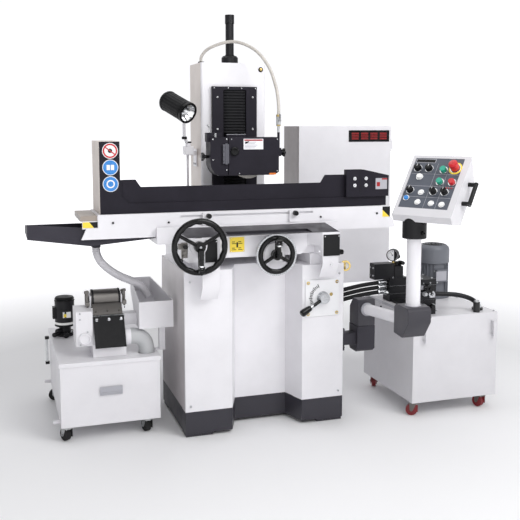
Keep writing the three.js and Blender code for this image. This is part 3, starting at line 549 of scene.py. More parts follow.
def add_hoses():
    piece, line = tube("coolant_hose_skin", COOLANT_ROUTE, 8.5, "hose_beige", rib=0.7, pitch=5)
    declare_hose(line)
    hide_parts("coolant_hose")
    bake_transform(piece)

    piece, line = tube("drain_hose_skin", DRAIN_ROUTE, 20, "hose_grey", rib=2.2, pitch=9, sides=28)
    declare_hose(line)
    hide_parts("drain_hose")
    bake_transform(piece)

    for i, route in enumerate(HYDRAULIC_ROUTES, 1):
        piece, line = tube(f"hydraulic_hose_skin_{i}", route, 11, "rubber", sides=18)
        declare_hose(line)
        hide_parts(f"hydraulic_hose_{i}")
        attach(piece, "base")


add_hoses()


# ---------- Finishes of the CAD nodes ----------
def dress(names, material, bevel=1.0):
    """Gives CAD nodes a material and rounded edges; their shape stays."""
    for name in names:
        node = NODES[name]
        node.data.materials.clear()
        node.data.materials.append(material)
        soften(node, bevel)


def casting_paints():
    base_zones = [
        (PLINTH, [beyond("z", 122, -1)]),
        (PLINTH, [beyond("y", 70), beyond("z", 124, -1)]),
        (SHADED, [beyond("x", -398, -1), beyond("z", 124), beyond("y", 14)]),
    ]
    dress(["base_casting"], paint("base_enamel", WHITE, zones=base_zones), 5)
    # Painted shade: the column's left face is painted beige, the white enamel in shade.
    column_zones = [(SHADE_BEIGE, [beyond("x", -175.6, -1), beyond("x", -178, 1)])]
    dress(["column"], paint("column_enamel", WHITE, zones=column_zones), 3)
    # Painted shade: the saddle's top faces in front of and behind the apron, in shade under the table,
    # are painted charcoal.
    saddle_shade_zones = [
        (CHARCOAL, [beyond("z", 956.4), beyond("y", 99, -1)]),
        (CHARCOAL, [beyond("z", 955), beyond("y", 130), beyond("x", -502)]),
    ]
    dress(["saddle"], paint("saddle_enamel", WHITE, zones=saddle_shade_zones), 2)
    # Painted shade: the top of the table's left end is painted tan, the white enamel in shade.
    shaded_end_tops = [(SHADE_TAN, [beyond("x", -770, -1), beyond("z", 1022)])]
    dress(["table"], paint("table_enamel", WHITE, peel=0.06, zones=shaded_end_tops), 2)


def sheet_paints():
    cabinet_zones = [(DARK_GREY, [beyond("x", 468.5, -1)])]
    cabinet = paint("cabinet_enamel", shade(WHITE, 0.92), zones=cabinet_zones)
    dress(["electrical_cabinet", "cabinet_door"], cabinet, 2)
    # Painted shade: the end guard's left face and top are painted beige, light paint in shade.
    guard_shade_zones = [(SHADE_BEIGE, [beyond("x", -755, -1)]), (SHADE_BEIGE, [beyond("z", 1384)])]
    dress(["end_guard"], wrinkle("end_guard_enamel", CHARCOAL, zones=guard_shade_zones), 0.8)
    dress(["splash_guard", "way_cover", "guard_door"], M["charcoal"], 0.8)
    # Painted light: the coolant tray's charcoal sheet is painted in the lighter TRAY_GREY because it
    # faces the light.
    dress(["coolant_tray"], wrinkle("tray_lit_enamel", TRAY_GREY), 0.8)
    pipe = [(ZINC, [beyond("x", 139), beyond("z", 1424), beyond("y", 254)])]
    dress(["wheel_guard"], wrinkle("wheel_guard_enamel", CHARCOAL, zones=pipe), 1.5)
    dress(["wheel_head"], M["charcoal"], 4)
    tanks = paint("tank_enamel", shade(WHITE, 0.97), peel=0.2)
    caps = [(BLACK, [beyond("z", 510.5)])]
    # Painted shade: the hydraulic tank's white enamel is darkened to 0.84 of WHITE.
    dress(["hydraulic_tank"], paint("hydraulic_shaded_enamel", shade(WHITE, 0.84), peel=0.2, zones=caps), 1.5)
    dress(["coolant_tank", "inlet_hopper"], tanks, 1.2)
    elbow = [
        (ZINC, [beyond("x", SEPARATOR_RIGHT + 1), beyond("z", 512, -1)]),
        (shade(WHITE, 0.3), [beyond("x", -872), beyond("x", -802, -1), beyond("z", 432, -1)]),
    ]
    dress(["separator_frame"], paint("separator_enamel", WHITE, zones=elbow), 1.2)
    sides = [beyond("x", 473), beyond("x", 567, -1)]
    arm_zones = [
        (TRAY_GREY, [*sides, beyond("y", -13), beyond("z", 603, -1)]),
        (TRAY_GREY, [beyond("x", 501), beyond("z", 653, -1), beyond("y", -329, -1), beyond("z", 500)]),
    ]
    dress(["pendant_arm"], paint("pendant_arm_enamel", WHITE, 0.36, zones=arm_zones), 3)
    dress(["lamp_arm"], M["white_paint"], 2)
    # Painted shade: the pendant box's white enamel is darkened to 0.82 of WHITE.
    dress(["pendant_box"], paint("pendant_shaded_enamel", shade(WHITE, 0.82)), 3)
    dress(["arm_bracket"], paint("bracket_enamel", TRAY_GREY), 3)


def other_finishes():
    dress(["screw_cover_tube", "valve_block", "coolant_pump"], M["black_paint"], 0.8)
    dress(["table_handwheel", "table_crank", "cross_handwheel", "cross_crank"], M["black_gloss"], 0.6)
    dress(["elevation_screw", "spindle"], M["steel"], 0.5)
    dress(["separator_drum"], M["dark_steel"], 0.5)
    dress(["coolant_tap"], M["chrome"], 0.4)
    dress(["magnetic_chuck"], M["table_steel"], 1.2)
    dress(["speed_lever"], M["steel"], 0.6)
    dress(["hydraulic_motor"], paint("motor_enamel", MOTOR_BLUE, 0.45), 1.0)
    dress(["grinding_wheel"], abrasive(), 0.6)
    dress(["lamp_head"], M["black_satin"], 1.0)
    dress(["upper_bellows", "lower_bellows"], M["bellows"], 0)
    dress(["emergency_stop", "stop_button"], M["red_plastic"], 1.5)
    dress(["start_button", "cycle_button"], M["green_plastic"], 1.5)
    dress(["selector_1", "selector_2"], M["black_satin"], 1.2)
    dog = [(WHITE, [beyond("y", 118.8), beyond("y", 134.8, -1)])]
    for name in ("reverse_dog_left", "reverse_dog_right"):
        dress([name], paint(f"{name}_paint", BLACK, 0.3, zones=dog), 1.0)
    forks = [(ZINC, [beyond("z", 58.6)])]
    red_wheel = paint("caster_wheel_red", (0.20, 0.012, 0.016), 0.4, zones=forks)
    dress([f"hydraulic_caster_{i}" for i in range(1, 5)], red_wheel, 0.8)
    black_wheel = paint("caster_wheel_black", (0.02, 0.02, 0.021), 0.6, zones=forks)
    dress([f"coolant_caster_{i}" for i in range(1, 5)], black_wheel, 0.8)


SEPARATOR_RIGHT = -646
casting_paints()
sheet_paints()
other_finishes()


# ---------- Bellows ----------
def fold_bellows(name, node, low, high, folds):
    """A pleated cloth strip with soft folds."""
    data = bmesh.new()
    rows = []
    steps = folds * 8
    for i in range(steps + 1):
        z = low + (high - low) * i / steps
        wave = abs(math.sin(math.pi * folds * i / steps))
        y = 534 - 10.5 * wave ** 0.6
        rows.append([data.verts.new(at(x, y + edge, z)) for x, edge in
                     ((-60, 6), (-58.5, 0.4), (-30, 0), (0, 0.5), (30, 0), (58.5, 0.4), (60, 6))])
    bridge(data, rows, closed=False)
    mesh = mesh_of(name, data)
    mesh.shade_smooth()
    mesh.materials.append(M["bellows"])
    piece = placed(name, mesh)
    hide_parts(node)
    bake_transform(piece)


fold_bellows("upper_bellows_cloth", "upper_bellows", 1416, 1642.5, 15)
fold_bellows("lower_bellows_cloth", "lower_bellows", 1015.5, 1234, 14)


# ---------- Base, saddle and table details ----------
TABLE_HUB, CROSS_HUB = (-354, -120, 920), (29, -62, 857)
SPEED_HUB = Vector((286, -7.4, 626))
RIM_STEPS, RIM_SIDES = 96, 16


def add_base_details():
    """Speed plate with its scale and lever grip, screws, sight glass and clamp knob."""
    box_piece("speed_plate_face", "white_plate", "base", 0.5, (197, -6.5, 535), (373, -3.5, 714))
    dark = Build()
    for k in range(13):
        angle = math.radians(112 + 7.6 * k)
        direction = Vector((math.cos(angle), 0, math.sin(angle)))
        inner, outer = (56, 68) if k % 3 else (54, 72)
        start = SPEED_HUB + direction * inner
        dark.rod(start, start + direction * (outer - inner), 1.9, sides=8)
    dark.done("speed_scale", "black_satin", "base", 0.2)
    pads = Build()
    for x, z in ((210, 548), (360, 548), (360, 701), (210, 701), (330, 640)):
        pads.rod((x, -6.5, z), (x, -8.5, z), 8.5, sides=24)
    pads.done("speed_plate_pads", "brass", "base", 0.3)
    screws = Build()
    screws.screws(
        [(x, -8, z) for x, z in ((210, 548), (360, 548), (360, 701), (210, 701))], FORWARD, 4)
    screws.screws(
        [(x, 0, z) for x, z in ((-374, 740), (374, 740), (-374, 150), (374, 150))], FORWARD, 5)
    screws.done("base_screws", "steel", "base", 0.2)
    grip = Build()
    hub, tip = Vector((286, -26, 626)), Vector((164, -45, 563))
    way = (tip - hub).normalized()
    grip.rod(hub + way * 24, hub + way * 86, 7.6, 9, 24)
    grip.turned(hub + way * 84, way, [
        (9, 0), (13, 3), (17.5, 40), (17, 55), (12, 60), (0.01, 61), (0.01, 0)], 32)
    grip.done("speed_lever_grip", "black_gloss", "lever", 1)
    Build().ring((286, -6.6, 626), FORWARD, 24, 31, 5, 48).done("speed_disc", "steel", "base", 0.5)
    glass = Build().ring((434, 60, 764), (-0.34, -0.94, 0.1), 18, 27, 9)
    glass.rod((398, 72, 764), (434, 64, 764), 12, 22, 36)
    glass.done("sight_glass_rim", "brass", "base", 0.6)
    lens = Build().rod((434, 62, 764), (432.5, 58, 764.5), 18.5)
    lens.done("sight_glass_lens", "white_plastic", "base", 0.4)
    knob = Build().rod((337, -30, 850), (366, -30, 850), 5)
    knob.rod((362, -30, 850), (380, -30, 850), 14, 11)
    knob.done("saddle_clamp_knob", "black_gloss", "cross_slide", 1.5)


def add_saddle_details():
    """Plates, screws, the lever group behind the table handwheel and the cross feed dial."""
    plates = Build()
    plates.box((254, -89, 843), (337, -85, 945)).box((-321, -89, 843), (-265, -85, 945))
    plates.done("saddle_plates", "black_satin", "cross_slide", 1.2)
    box_piece("lubrication_plate", "yellow_plate", "cross_slide", 0.4,
              (-181, -3.5, 871), (-111, 0.5, 940))
    marks = Build()
    for x in (-171, -141):
        for z in (880, 909):
            marks.box((x, -4.2, z), (x + 20, -3.4, z + 3)).box((x, -4.2, z + 8), (x + 14, -3.4, z + 11))
    marks.box((-150, -4.2, 892), (-142, -3.4, 916))
    marks.done("lubrication_marks", "black_satin", "cross_slide", 0)
    screws = Build()
    screws.screws(
        [(x, -89, z) for x, z in ((260, 937), (331, 937), (-316, 937), (-270, 937))], FORWARD, 3.2)
    screws.screws([(x, -84, z) for x, z in ((233, 868), (295, 800), (-292, 800))], FORWARD, 5)
    screws.screws(
        [(x, -3.5, z) for x, z in ((-176, 876), (-116, 876), (-176, 935), (-116, 935))], FORWARD, 2)
    screws.done("saddle_screws", "chrome", "cross_slide", 0.2)
    levers = Build()
    levers.box((-426, -74, 866), (-398, -52, 934)).box((-440, -70, 905), (-424, -56, 930))
    levers.rod((-412, -74, 888), (-412, -84, 888), 11).rod((-412, -80, 888), (-430, -86, 860), 4)
    levers.rod((-412, -74, 918), (-412, -86, 918), 9)
    levers.done("hydraulic_levers", "dark_steel", "cross_slide", 1)
    knobs = Build()
    knobs.turned((-430, -86, 860), (-0.5, -0.1, -0.8),
                 [(0.01, -4), (6, -4), (10, 4), (10, 10), (6, 15), (0.01, 16)], 24)
    knobs.rod((-412, -86, 918), (-412, -98, 918), 11, 9)
    knobs.done("hydraulic_lever_knobs", "black_gloss", "cross_slide", 0.8)
    dial = Build().ring((29, -63, 857), (0, 1, 0), 91.5, 99.4, 17, 72)
    dial.done("cross_dial", "steel", "small_wheel", 0.5)
    ticks = Build()
    for k in range(60):
        angle = math.tau * k / 60
        reach = 3.5 if k % 5 else 6.5
        c, s = math.cos(angle), math.sin(angle)
        outer, inner = (
            (CROSS_HUB[0] + c * r, -63.3, CROSS_HUB[2] + s * r) for r in (98.5, 98.5 - reach)
        )
        ticks.rod(outer, inner, 0.5, sides=6)
    ticks.done("cross_dial_ticks", "black_satin", "small_wheel", 0)


def add_wheel_details():
    for (x, y, z), hub, body, name in (
        (TABLE_HUB, 25, "big_wheel", "table"), (CROSS_HUB, 24, "small_wheel", "cross"),
    ):
        cap = Build()
        cap.ring((x, y - 13.5, z), FORWARD, 6, hub - 2, 4)
        cap.done(f"{name}_wheel_cap", "black_gloss", body, 0.8)
        screw = Build().cap_screw((x, y - 14, z), FORWARD, 6)
        screw.done(f"{name}_wheel_screw", "steel", body, 0.3)
    for x, y, z, inward, body, name in (
        (-354, -154, 814, 1, "big_crank", "table"), (29, -96, 927, -1, "small_crank", "cross"),
    ):
        collar = Build()
        collar.rod((x, y, z + inward * 20), (x, y, z + inward * 27), 10.6, sides=28)
        collar.rod((x - 14, y, z), (x + 14, y, z), 4.6, sides=20)
        collar.done(f"{name}_crank_collar", "chrome", body, 0.5)


def wedge(build, outline, y):
    """A thin flat patch with an X-Z outline, facing the front."""
    prism(build, [(x, y - 1.2, z) for x, z in outline], [(x, y + 0.5, z) for x, z in outline])


def rim_loop(hub, turn, radius, section, dip):
    """One ring of points round a rim's section; dip swells the side that faces the hub."""
    x, y, z = hub
    points = []
    for i in range(RIM_SIDES):
        around = math.tau * i / RIM_SIDES
        swell = dip if math.cos(around) < -0.3 else 0
        reach = radius + (section + swell) * math.cos(around)
        points.append(at(
            x + reach * math.cos(turn), y + section * math.sin(around), z + reach * math.sin(turn),
        ))
    return points


def add_rims():
    """Fuller round rims over the handwheels, with shallow finger grips inside the large one."""
    for hub, radius, section, grip_depth, body, name in (
        (TABLE_HUB, 115, 13.5, 1.8, "big_wheel", "table"),
        (CROSS_HUB, 79, 11.5, 0, "small_wheel", "cross"),
    ):
        rim = Build()
        loops = []
        for k in range(RIM_STEPS):
            turn = math.tau * k / RIM_STEPS
            dip = grip_depth * math.cos(16 * turn)
            loop = rim_loop(hub, turn, radius, section, dip)
            loops.append([rim.mesh.verts.new(place) for place in loop])
        bridge(rim.mesh, [*loops, loops[0]])
        rim.done(f"{name}_wheel_rim", "black_gloss", body, 0)


def add_table_details():
    """End marks, screws, chuck pole lines and the splash guard's fittings."""
    yellow, black = Build(), Build()
    wedge(yellow, ((-836, 992), (-786, 992), (-806, 1018), (-836, 1018)), 144)
    wedge(black, ((-786, 992), (-769, 992), (-769, 1018), (-806, 1018)), 144)
    wedge(yellow, ((674, 992), (716, 992), (674, 1030)), 144)
    wedge(black, ((719, 992), (719, 1044), (674, 1044), (674, 1030), (716, 992)), 144)
    yellow.done("table_end_marks_yellow", "yellow_plate", "work_table", 0)
    black.done("table_end_marks_black", "black_satin", "work_table", 0)
    screws = Build()
    screws.screws(
        [(x, 135, z) for x, z in ((640, 1012), (-700, 1012), (330, 1005), (-440, 1005))], FORWARD, 5)
    screws.done("table_screws", "black_satin", "work_table", 0.3)
    poles = Build()
    for k in range(33):
        x = -296 + 496 * k / 32
        poles.box((x - 1.2, 200, 1114.7), (x + 1.2, 380, 1115.1))
    poles.done("chuck_pole_lines", "brass", "work_table", 0)
    guard_screws = Build()
    for x in (512, 574):
        for z in (1192, 1158):
            guard_screws.rod((x, 130, z), (x, 127, z), 10, 9, 28)
            guard_screws.cap_screw((x, 127, z), FORWARD, 5)
    guard_screws.done("guard_screws", "chrome", "work_table", 0.4)
    box_piece("guard_left_flange", "charcoal", "work_table", 0.4, (-662, 158, 1051), (-648, 162, 1207))
    box_piece("guard_seam", "black_satin", "work_table", 0, (541, 129.2, 1106), (543, 130.2, 1234))
    box_piece("guard_label", "grey_plate", "work_table", 0.2, (628, 128.6, 1136), (692, 130, 1192))
    box_piece("guard_label_stripe", "red_plate", "work_table", 0,
              (662, 128.0, 1184), (692, 128.8, 1191), (634, 128, 1150), (652, 128.8, 1172))


def add_signs():
    """Three round plain discs: a red ring with a bar, then two blue ones."""
    white, blue, red, dark = Build(), Build(), Build(), Build()
    for z in (1342, 1266, 1190):
        white.rod((-705, 150.5, z), (-705, 148.8, z), 36, sides=56)
    red.ring((-705, 148.9, 1342), FORWARD, 26, 33, 1.0, 56)
    wedge(red, ((-683, 1322), (-680, 1326), (-727, 1362), (-730, 1358)), 148.6)
    dark.rod((-705, 148.9, 1342), (-705, 148.2, 1342), 10, sides=32)
    for z in (1266, 1190):
        blue.rod((-705, 148.9, z), (-705, 148.0, z), 33, sides=56)
    white.box((-722, 147.2, 1254), (-707, 148.1, 1278)).box((-703, 147.2, 1254), (-688, 148.1, 1278))
    white.ring((-705, 148.1, 1190), FORWARD, 13, 19, 0.9, 40)
    white.done("sign_discs", "white_plate", "work_table", 0)
    blue.done("sign_blue", "blue_plastic", "work_table", 0)
    red.done("sign_red", "red_plastic", "work_table", 0)
    dark.done("sign_dark_mark", "black_satin", "work_table", 0)


add_base_details()
add_saddle_details()
add_wheel_details()
add_rims()
add_table_details()
add_signs()


# ---------- Wheel head and column details ----------
def star(build, centre, outward, radius):
    """A five-lobed clamping knob."""
    outward = outward.normalized()
    side = outward.cross(Vector(ABOVE)).normalized()
    up = side.cross(outward)
    build.rod(centre - outward * 10, centre + outward * 7, radius * 0.62, sides=28)
    for k in range(5):
        angle = math.tau * k / 5
        lobe = centre + (side * math.cos(angle) + up * math.sin(angle)) * radius * 0.68
        build.rod(lobe - outward * 6, lobe + outward * 6, radius * 0.32, sides=20)
    return build


def add_head_details():
    """Guard door label, hinge and screws, clamping knobs, and the coolant fitting."""
    box_piece("guard_door_label", "white_plate", "door", 0.3, (-38, 242.6, 1340), (64, 244.9, 1392))
    box_piece("guard_door_stripe", "red_plate", "door", 0, (-34, 242, 1382), (60, 242.8, 1389))
    lines = Build()
    for k in range(5):
        lines.box((-32, 242.1, 1346 + 7 * k), (20 + 7 * (k % 3), 242.8, 1348.5 + 7 * k))
    lines.done("guard_door_lines", "grey_plate", "door", 0)
    mark = Build()
    wedge(mark, ((-30, 1378), (-8, 1380), (-16, 1372), (-30, 1368)), 242.6)
    mark.done("guard_door_mark", "black_satin", "door", 0)
    hinge = Build().box((-146, 233, 1272), (-116, 236.5, 1366))
    hinge.rod((-128, 236.5, 1268), (-128, 236.5, 1370), 7, sides=24)
    hinge.screws([(-140, 233, z) for z in (1284, 1305, 1333, 1354)], FORWARD, 3)
    hinge.done("guard_hinge_strip", "hinge_grey", "head", 0.3)
    knob = Build().turned((-87, 233, 1331), FORWARD, [
        (0.01, -2), (21.5, -2), (21.5, 4), (17, 9), (0.01, 10)], 36)
    knob.done("guard_door_knob", "black_gloss", "door", 0.6)
    screws = Build()
    screws.screws(
        [(x, 245, z) for x, z in ((-100, 1390), (138, 1390), (138, 1232), (-60, 1222))], FORWARD, 3.5)
    screws.done("guard_door_screws", "steel", "door", 0.2)
    fixed = Build()
    for x, z in ((-195, 1390), (-125, 1390), (-195, 1290), (-125, 1240)):
        fixed.cap_screw((x, 245, z), FORWARD, 3.5)
    fixed.rod((-200, 290, 1422), (-200, 290, 1452), 3.5).rod((-200, 290, 1450), (-214, 282, 1462), 4)
    fixed.box((-183, 252, 1380), (-174, 257.5, 1420))
    fixed.done("wheel_guard_fittings", "chrome", "head", 0.3)
    stem = Build().rod((-230, 285, 1305), (-205, 285, 1305), 9, 7, 24)
    stem.done("guard_left_stem", "black_gloss", "head", 0.5)
    star(Build(), Vector((-236, 285, 1305)), Vector(LEFT), 21).done(
        "guard_left_knob", "black_gloss", "head", 0.8)
    star(Build(), Vector((190, 295, 1322)), Vector(RIGHT), 22).done(
        "guard_right_knob", "black_gloss", "head", 0.8)
    box_piece("guard_warning_tip", "orange_paint", "door", 0.3, (96, 243, 1213), (132, 246, 1222))
    box_piece("neck_strip", "grey_plate", "head", 0.5,
              (-52, 498, 1404), (52, 506, 1413), (-60, 470, 1392.5), (60, 500, 1396))
    fitting = Build()
    fitting.hexagon((153, 268, 1496), (153, 268, 1512), 12)
    fitting.hexagon((153, 268, 1455), (153, 268, 1463), 11)
    fitting.done("coolant_fitting", "brass", "head", 0.4)


def add_column_details():
    """Way cover screws, plug, hose gland, cover tube rings and bolts."""
    screws = Build()
    screws.screws([(x, 521, z) for z in (1012, 1200, 1440, 1605) for x in (-96, 96)], FORWARD, 6)
    screws.screws([(x, 521, 1652) for x in (-112, -36, 36, 112)], FORWARD, 3.5)
    screws.done("way_cover_screws", "chrome", "base", 0.2)
    eye = Build().turned((150, 545, 1752), FORWARD, [
        (5, 0), (13, 0), (13, 3), (9, 6), (5, 6)], 28)
    eye.done("column_plug", "black_satin", "base", 0.3)
    core = Build().turned((150, 542, 1752), FORWARD, [(0.01, 0), (9, 0), (7, 3), (0.01, 3.5)], 28)
    core.done("column_plug_core", "brass", "base", 0.2)
    gland = Build().ring((-130, 720, 1784), ABOVE, 9.2, 17, 16).hexagon(
        (-130, 720, 1783), (-130, 720, 1791), 19)
    gland.done("hose_gland", "black_satin", "base", 0.5)
    rings = Build()
    for z in (1826, 1992, 2030):
        rings.ring((0, 615, z), ABOVE, 21, 24.8, 5)
    rings.done("cover_tube_rings", "black_gloss", "base", 0.4)
    bolts = Build()
    for k in range(4):
        angle = math.radians(45 + 90 * k)
        bolts.cap_screw((33 * math.cos(angle) * 1.15, 615 + 33 * math.sin(angle) * 1.15, 1814),
                        ABOVE, 3.5)
    bolts.screws(
        [(-182, y, z) for y, z in ((650, 1255), (682, 1255), (650, 1318), (682, 1318))], LEFT, 5)
    bolts.done("column_bolts", "steel", "base", 0.2)


def add_lamp_details():
    back, front = Vector((-354, 550, 1585)), Vector((-274, 420, 1519))
    along = (front - back).normalized()
    ribs = Build()
    side = along.cross(Vector(ABOVE)).normalized()
    up = side.cross(along)
    for k in range(24):
        angle = math.tau * k / 24
        ray = side * math.cos(angle) + up * math.sin(angle)
        start = back + ray * 51 + along * 16
        ribs.rod(start, start + along * 118, 2.6, sides=8)
    for distance in (6, 138):
        ribs.ring(back + along * distance, along, 48, 54.5, 8, 48)
    ribs.turned(back, -along, [(0.01, -1), (50, -1), (46, 8), (30, 13), (0.01, 14)], 48)
    ribs.done("lamp_ribs", "black_satin", "lamp_shade", 0.6)
    rim = Build().ring(front - along * 14, along, 46, 55.5, 16, 56)
    rim.done("lamp_rim", "black_gloss", "lamp_shade", 0.6)
    bowl = Build().turned(front - along * 29, along, [
        (0.01, 0), (14, 0.4), (34, 8), (43, 26), (44.5, 26), (35, 6), (14, -0.6), (0.01, -0.8)], 48)
    bowl.done("lamp_reflector", "chrome", "lamp_shade", 0)
    bulb = Build().turned(front - along * 27, along, [
        (0.01, 0), (9, 0), (12, 8), (9, 15), (4, 18), (0.01, 18.5)], 32)
    bulb.done("lamp_bulb", "glass", "lamp_shade", 0.4)
    joint = Build()
    joint.ring((-228, 622, 1366), ABOVE, 9, 17, 8).ring((-254, 600, 1386), ABOVE, 8, 14, 14)
    joint.done("lamp_arm_rings", "black_satin", "lamp_stem", 0.5)


def add_cabinet_details():
    """A plate with plain bars in place of a nameplate, and the latch."""
    box_piece("cabinet_plate", "black_gloss", "cabinet_lid", 0.8,
              (781, 797.6, 1363), (1046, 800.1, 1431))
    bars = Build()
    for k in range(4):
        for z in (1378, 1389, 1400, 1411):
            bars.box((799 + 61 * k, 796.8, z), (845 + 61 * k, 797.7, z + 5))
    bars.done("cabinet_plate_bars", "red_plate", "cabinet_lid", 0.4)
    latch = Build().box((494, 792, 915), (508, 800, 985)).rod((501, 786, 950), (501, 797, 950), 9)
    latch.done("cabinet_latch", "chrome", "cabinet_lid", 0.8)


add_head_details()
add_column_details()
add_lamp_details()
add_cabinet_details()


# ---------- Pendant ----------
TURN, TILT = math.radians(57), math.radians(52)
ACROSS = Vector((math.cos(TURN), -math.sin(TURN), 0))
UP = Vector((
    math.sin(TURN) * math.cos(TILT), math.cos(TURN) * math.cos(TILT), math.sin(TILT),
))
INWARD = UP.cross(ACROSS)
PANEL_MIDDLE = Vector((625, -429, 1193))
OUT = -INWARD


def on_panel(x, depth, z):
    """A layout point from panel coordinates: x across, depth into the box, z up the panel."""
    return PANEL_MIDDLE + ACROSS * x + INWARD * depth + UP * z


def slab(build, x0, x1, z0, z1, depth0, depth1):
    """A box square to the panel, added to a build."""
    outline = ((x0, z0), (x1, z0), (x1, z1), (x0, z1))
    hexahedron(build, [on_panel(x, depth, z) for depth in (depth0, depth1) for x, z in outline])


def add_panel():
    face = Build()
    slab(face, -125, 111, -121, 147, 1.4, 2.6)
    face.done("panel_face", "panel_face", "pendant", 0.3)
    lines = Build()
    for z in (62, -4, -62):
        slab(lines, -122, 108, z - 0.7, z + 0.7, 1.0, 1.5)
    for x in (-6, 52):
        slab(lines, x - 0.6, x + 0.6, -118, 120, 1.0, 1.5)
    slab(lines, -120, -22, 122, 143, 0.6, 1.5)
    lines.done("panel_lines", "grey_plate", "pendant", 0)
    screen = Build()
    slab(screen, -117, -25, 124.5, 140.5, 0.2, 0.8)
    screen.done("panel_display", "black_gloss", "pendant", 0.2)


def add_panel_controls():
    bezels = Build()
    for x, z, radius in ((83, 96, 20), (31, 84, 14), (33, 20, 14), (91, 20, 14), (19, -33, 14),
                         (72, -33, 14), (-96, 89, 15), (-41, 89, 15), (-73, 42, 12), (-95, -31, 14),
                         (-39, -39, 10), (-39, -91, 10), (27, -94, 10), (78, -97, 10), (-101, -72, 10)):
        bezels.ring(on_panel(x, 1.4, z), OUT, radius + 0.8, radius + 5, 3.6, 36)
    bezels.done("panel_bezels", "chrome", "pendant", 0.3)
    knobs = Build()
    for x, z, radius in ((-96, 89, 15), (-41, 89, 15), (-95, -31, 14)):
        knobs.turned(on_panel(x, 0, z), OUT, [
            (0.01, 0), (radius + 2, 0), (radius + 2, 5), (radius + 0.6, 7), (radius + 0.4, 18.4),
            (radius - 2, 20), (0.01, 20)], 36)
    knobs.done("panel_knobs", "black_gloss", "pendant", 0.4)
    marks = Build()
    for x, z in ((-96, 89), (-41, 89), (-95, -31)):
        slab(marks, x - 1, x + 1, z + 2, z + 14, -20.6, -19.6)
    marks.done("panel_knob_marks", "white_plate", "pendant", 0)
    for name, body, x, z in (("selector_1", "knob_1", 19, -33), ("selector_2", "knob_2", 72, -33)):
        blade = Build()
        slab(blade, x - 4, x + 4, z - 13, z + 13, -26, -20)
        blade.done(f"{name}_blade", "black_gloss", body, 0.8)
        pointer = Build()
        slab(pointer, x - 0.9, x + 0.9, z + 2, z + 12, -26.5, -25.9)
        pointer.done(f"{name}_pointer", "white_plate", body, 0)
    lamps = Build()
    for x, z, radius in ((-73, 42, 12), (-39, -39, 10), (-39, -91, 10), (27, -94, 10), (78, -97, 10)):
        lamps.turned(on_panel(x, 0, z), OUT, [
            (0.01, 0), (radius + 0.5, 0), (radius + 0.5, 12 if radius > 11 else 6),
            (radius - 1, 14 if radius > 11 else 8), (0.01, 15 if radius > 11 else 9)], 32)
    lamps.done("panel_lamps", "white_plastic", "pendant", 0.4)
    blue = Build().turned(on_panel(-101, 0, -72), OUT, [
        (0.01, 0), (10.5, 0), (10.5, 6), (9, 8), (0.01, 8.6)], 32)
    blue.done("panel_blue_button", "blue_plastic", "pendant", 0.4)
    tiny = Build()
    for x in (60, 72, 84, 96):
        tiny.rod(on_panel(x, 2, -9), on_panel(x, -1.5, -9), 2.6, sides=16)
    tiny.done("panel_small_lamps", "red_plastic", "pendant", 0.2)
    collar = Build().ring(on_panel(83, 1.6, 96), OUT, 21, 31, 2, 48)
    collar.done("emergency_stop_collar", "yellow_plate", "pendant", 0.3)
    cap = Build().turned(on_panel(83, -37.4, 96), OUT, [
        (0.01, -6), (20.6, -6), (20.2, 0), (15, 3), (0.01, 4.2)], 40)
    cap.done("emergency_stop_cap", "red_plastic", "stop_mushroom", 0.6)


def add_pendant_fittings():
    """Handle, collar, rings at the ends of the arm, bracket bolts and clamp levers."""
    grip = Build()
    for z in (-52, 48):
        grip.rod(on_panel(139, 52, z), on_panel(176, 52, z), 9.6, sides=28)
    grip.rod(on_panel(175.5, 52, -61.5), on_panel(175.5, 52, 57.5), 9.7, sides=28)
    grip.done("pendant_handle", "black_satin", "pendant", 2.5)
    sleeve = Build().turned((560, -400, 957), ABOVE, [
        (33, 0), (51, 0), (54, 3), (54, 98), (33, 98)], 48)
    sleeve.done("pendant_collar", "black_satin", "pendant", 0.8)
    screw = Build()
    for z, turn in ((1034, 0.2), (986, 0.2)):
        facing = Vector((math.sin(turn), -math.cos(turn), 0))
        place = Vector((560, -400, z)) + facing * 53.5
        screw.cap_screw(place, facing, 9)
    screw.done("pendant_collar_screws", "black_gloss", "pendant", 0.3)
    rings = Build()
    rings.ring((560, -400, 640), ABOVE, 31.8, 37, 14)
    rings.ring((519, -12, 552.9), (0.1, -1, 0.05), 26.8, 33, 12)
    rings.done("arm_rings", "grey_plate", "arm", 0.8)
    bolts = Build()
    bolts.screws([(411, y, z) for y in (22, 90) for z in (358, 446)], RIGHT, 5)
    bolts.done("arm_bracket_bolts", "steel", "base", 0.3)
    levers = Build()
    levers.rod((568, 30, 520), (590, 18, 520), 7).rod((588, 19, 520), (606, 0, 560), 4.5)
    levers.rod((618, -400, 560), (634, -404, 560), 7).rod((632, -404, 560), (640, -420, 596), 4.5)
    levers.done("arm_clamp_levers", "black_gloss", "arm", 0.8)


add_panel()
add_panel_controls()
add_pendant_fittings()


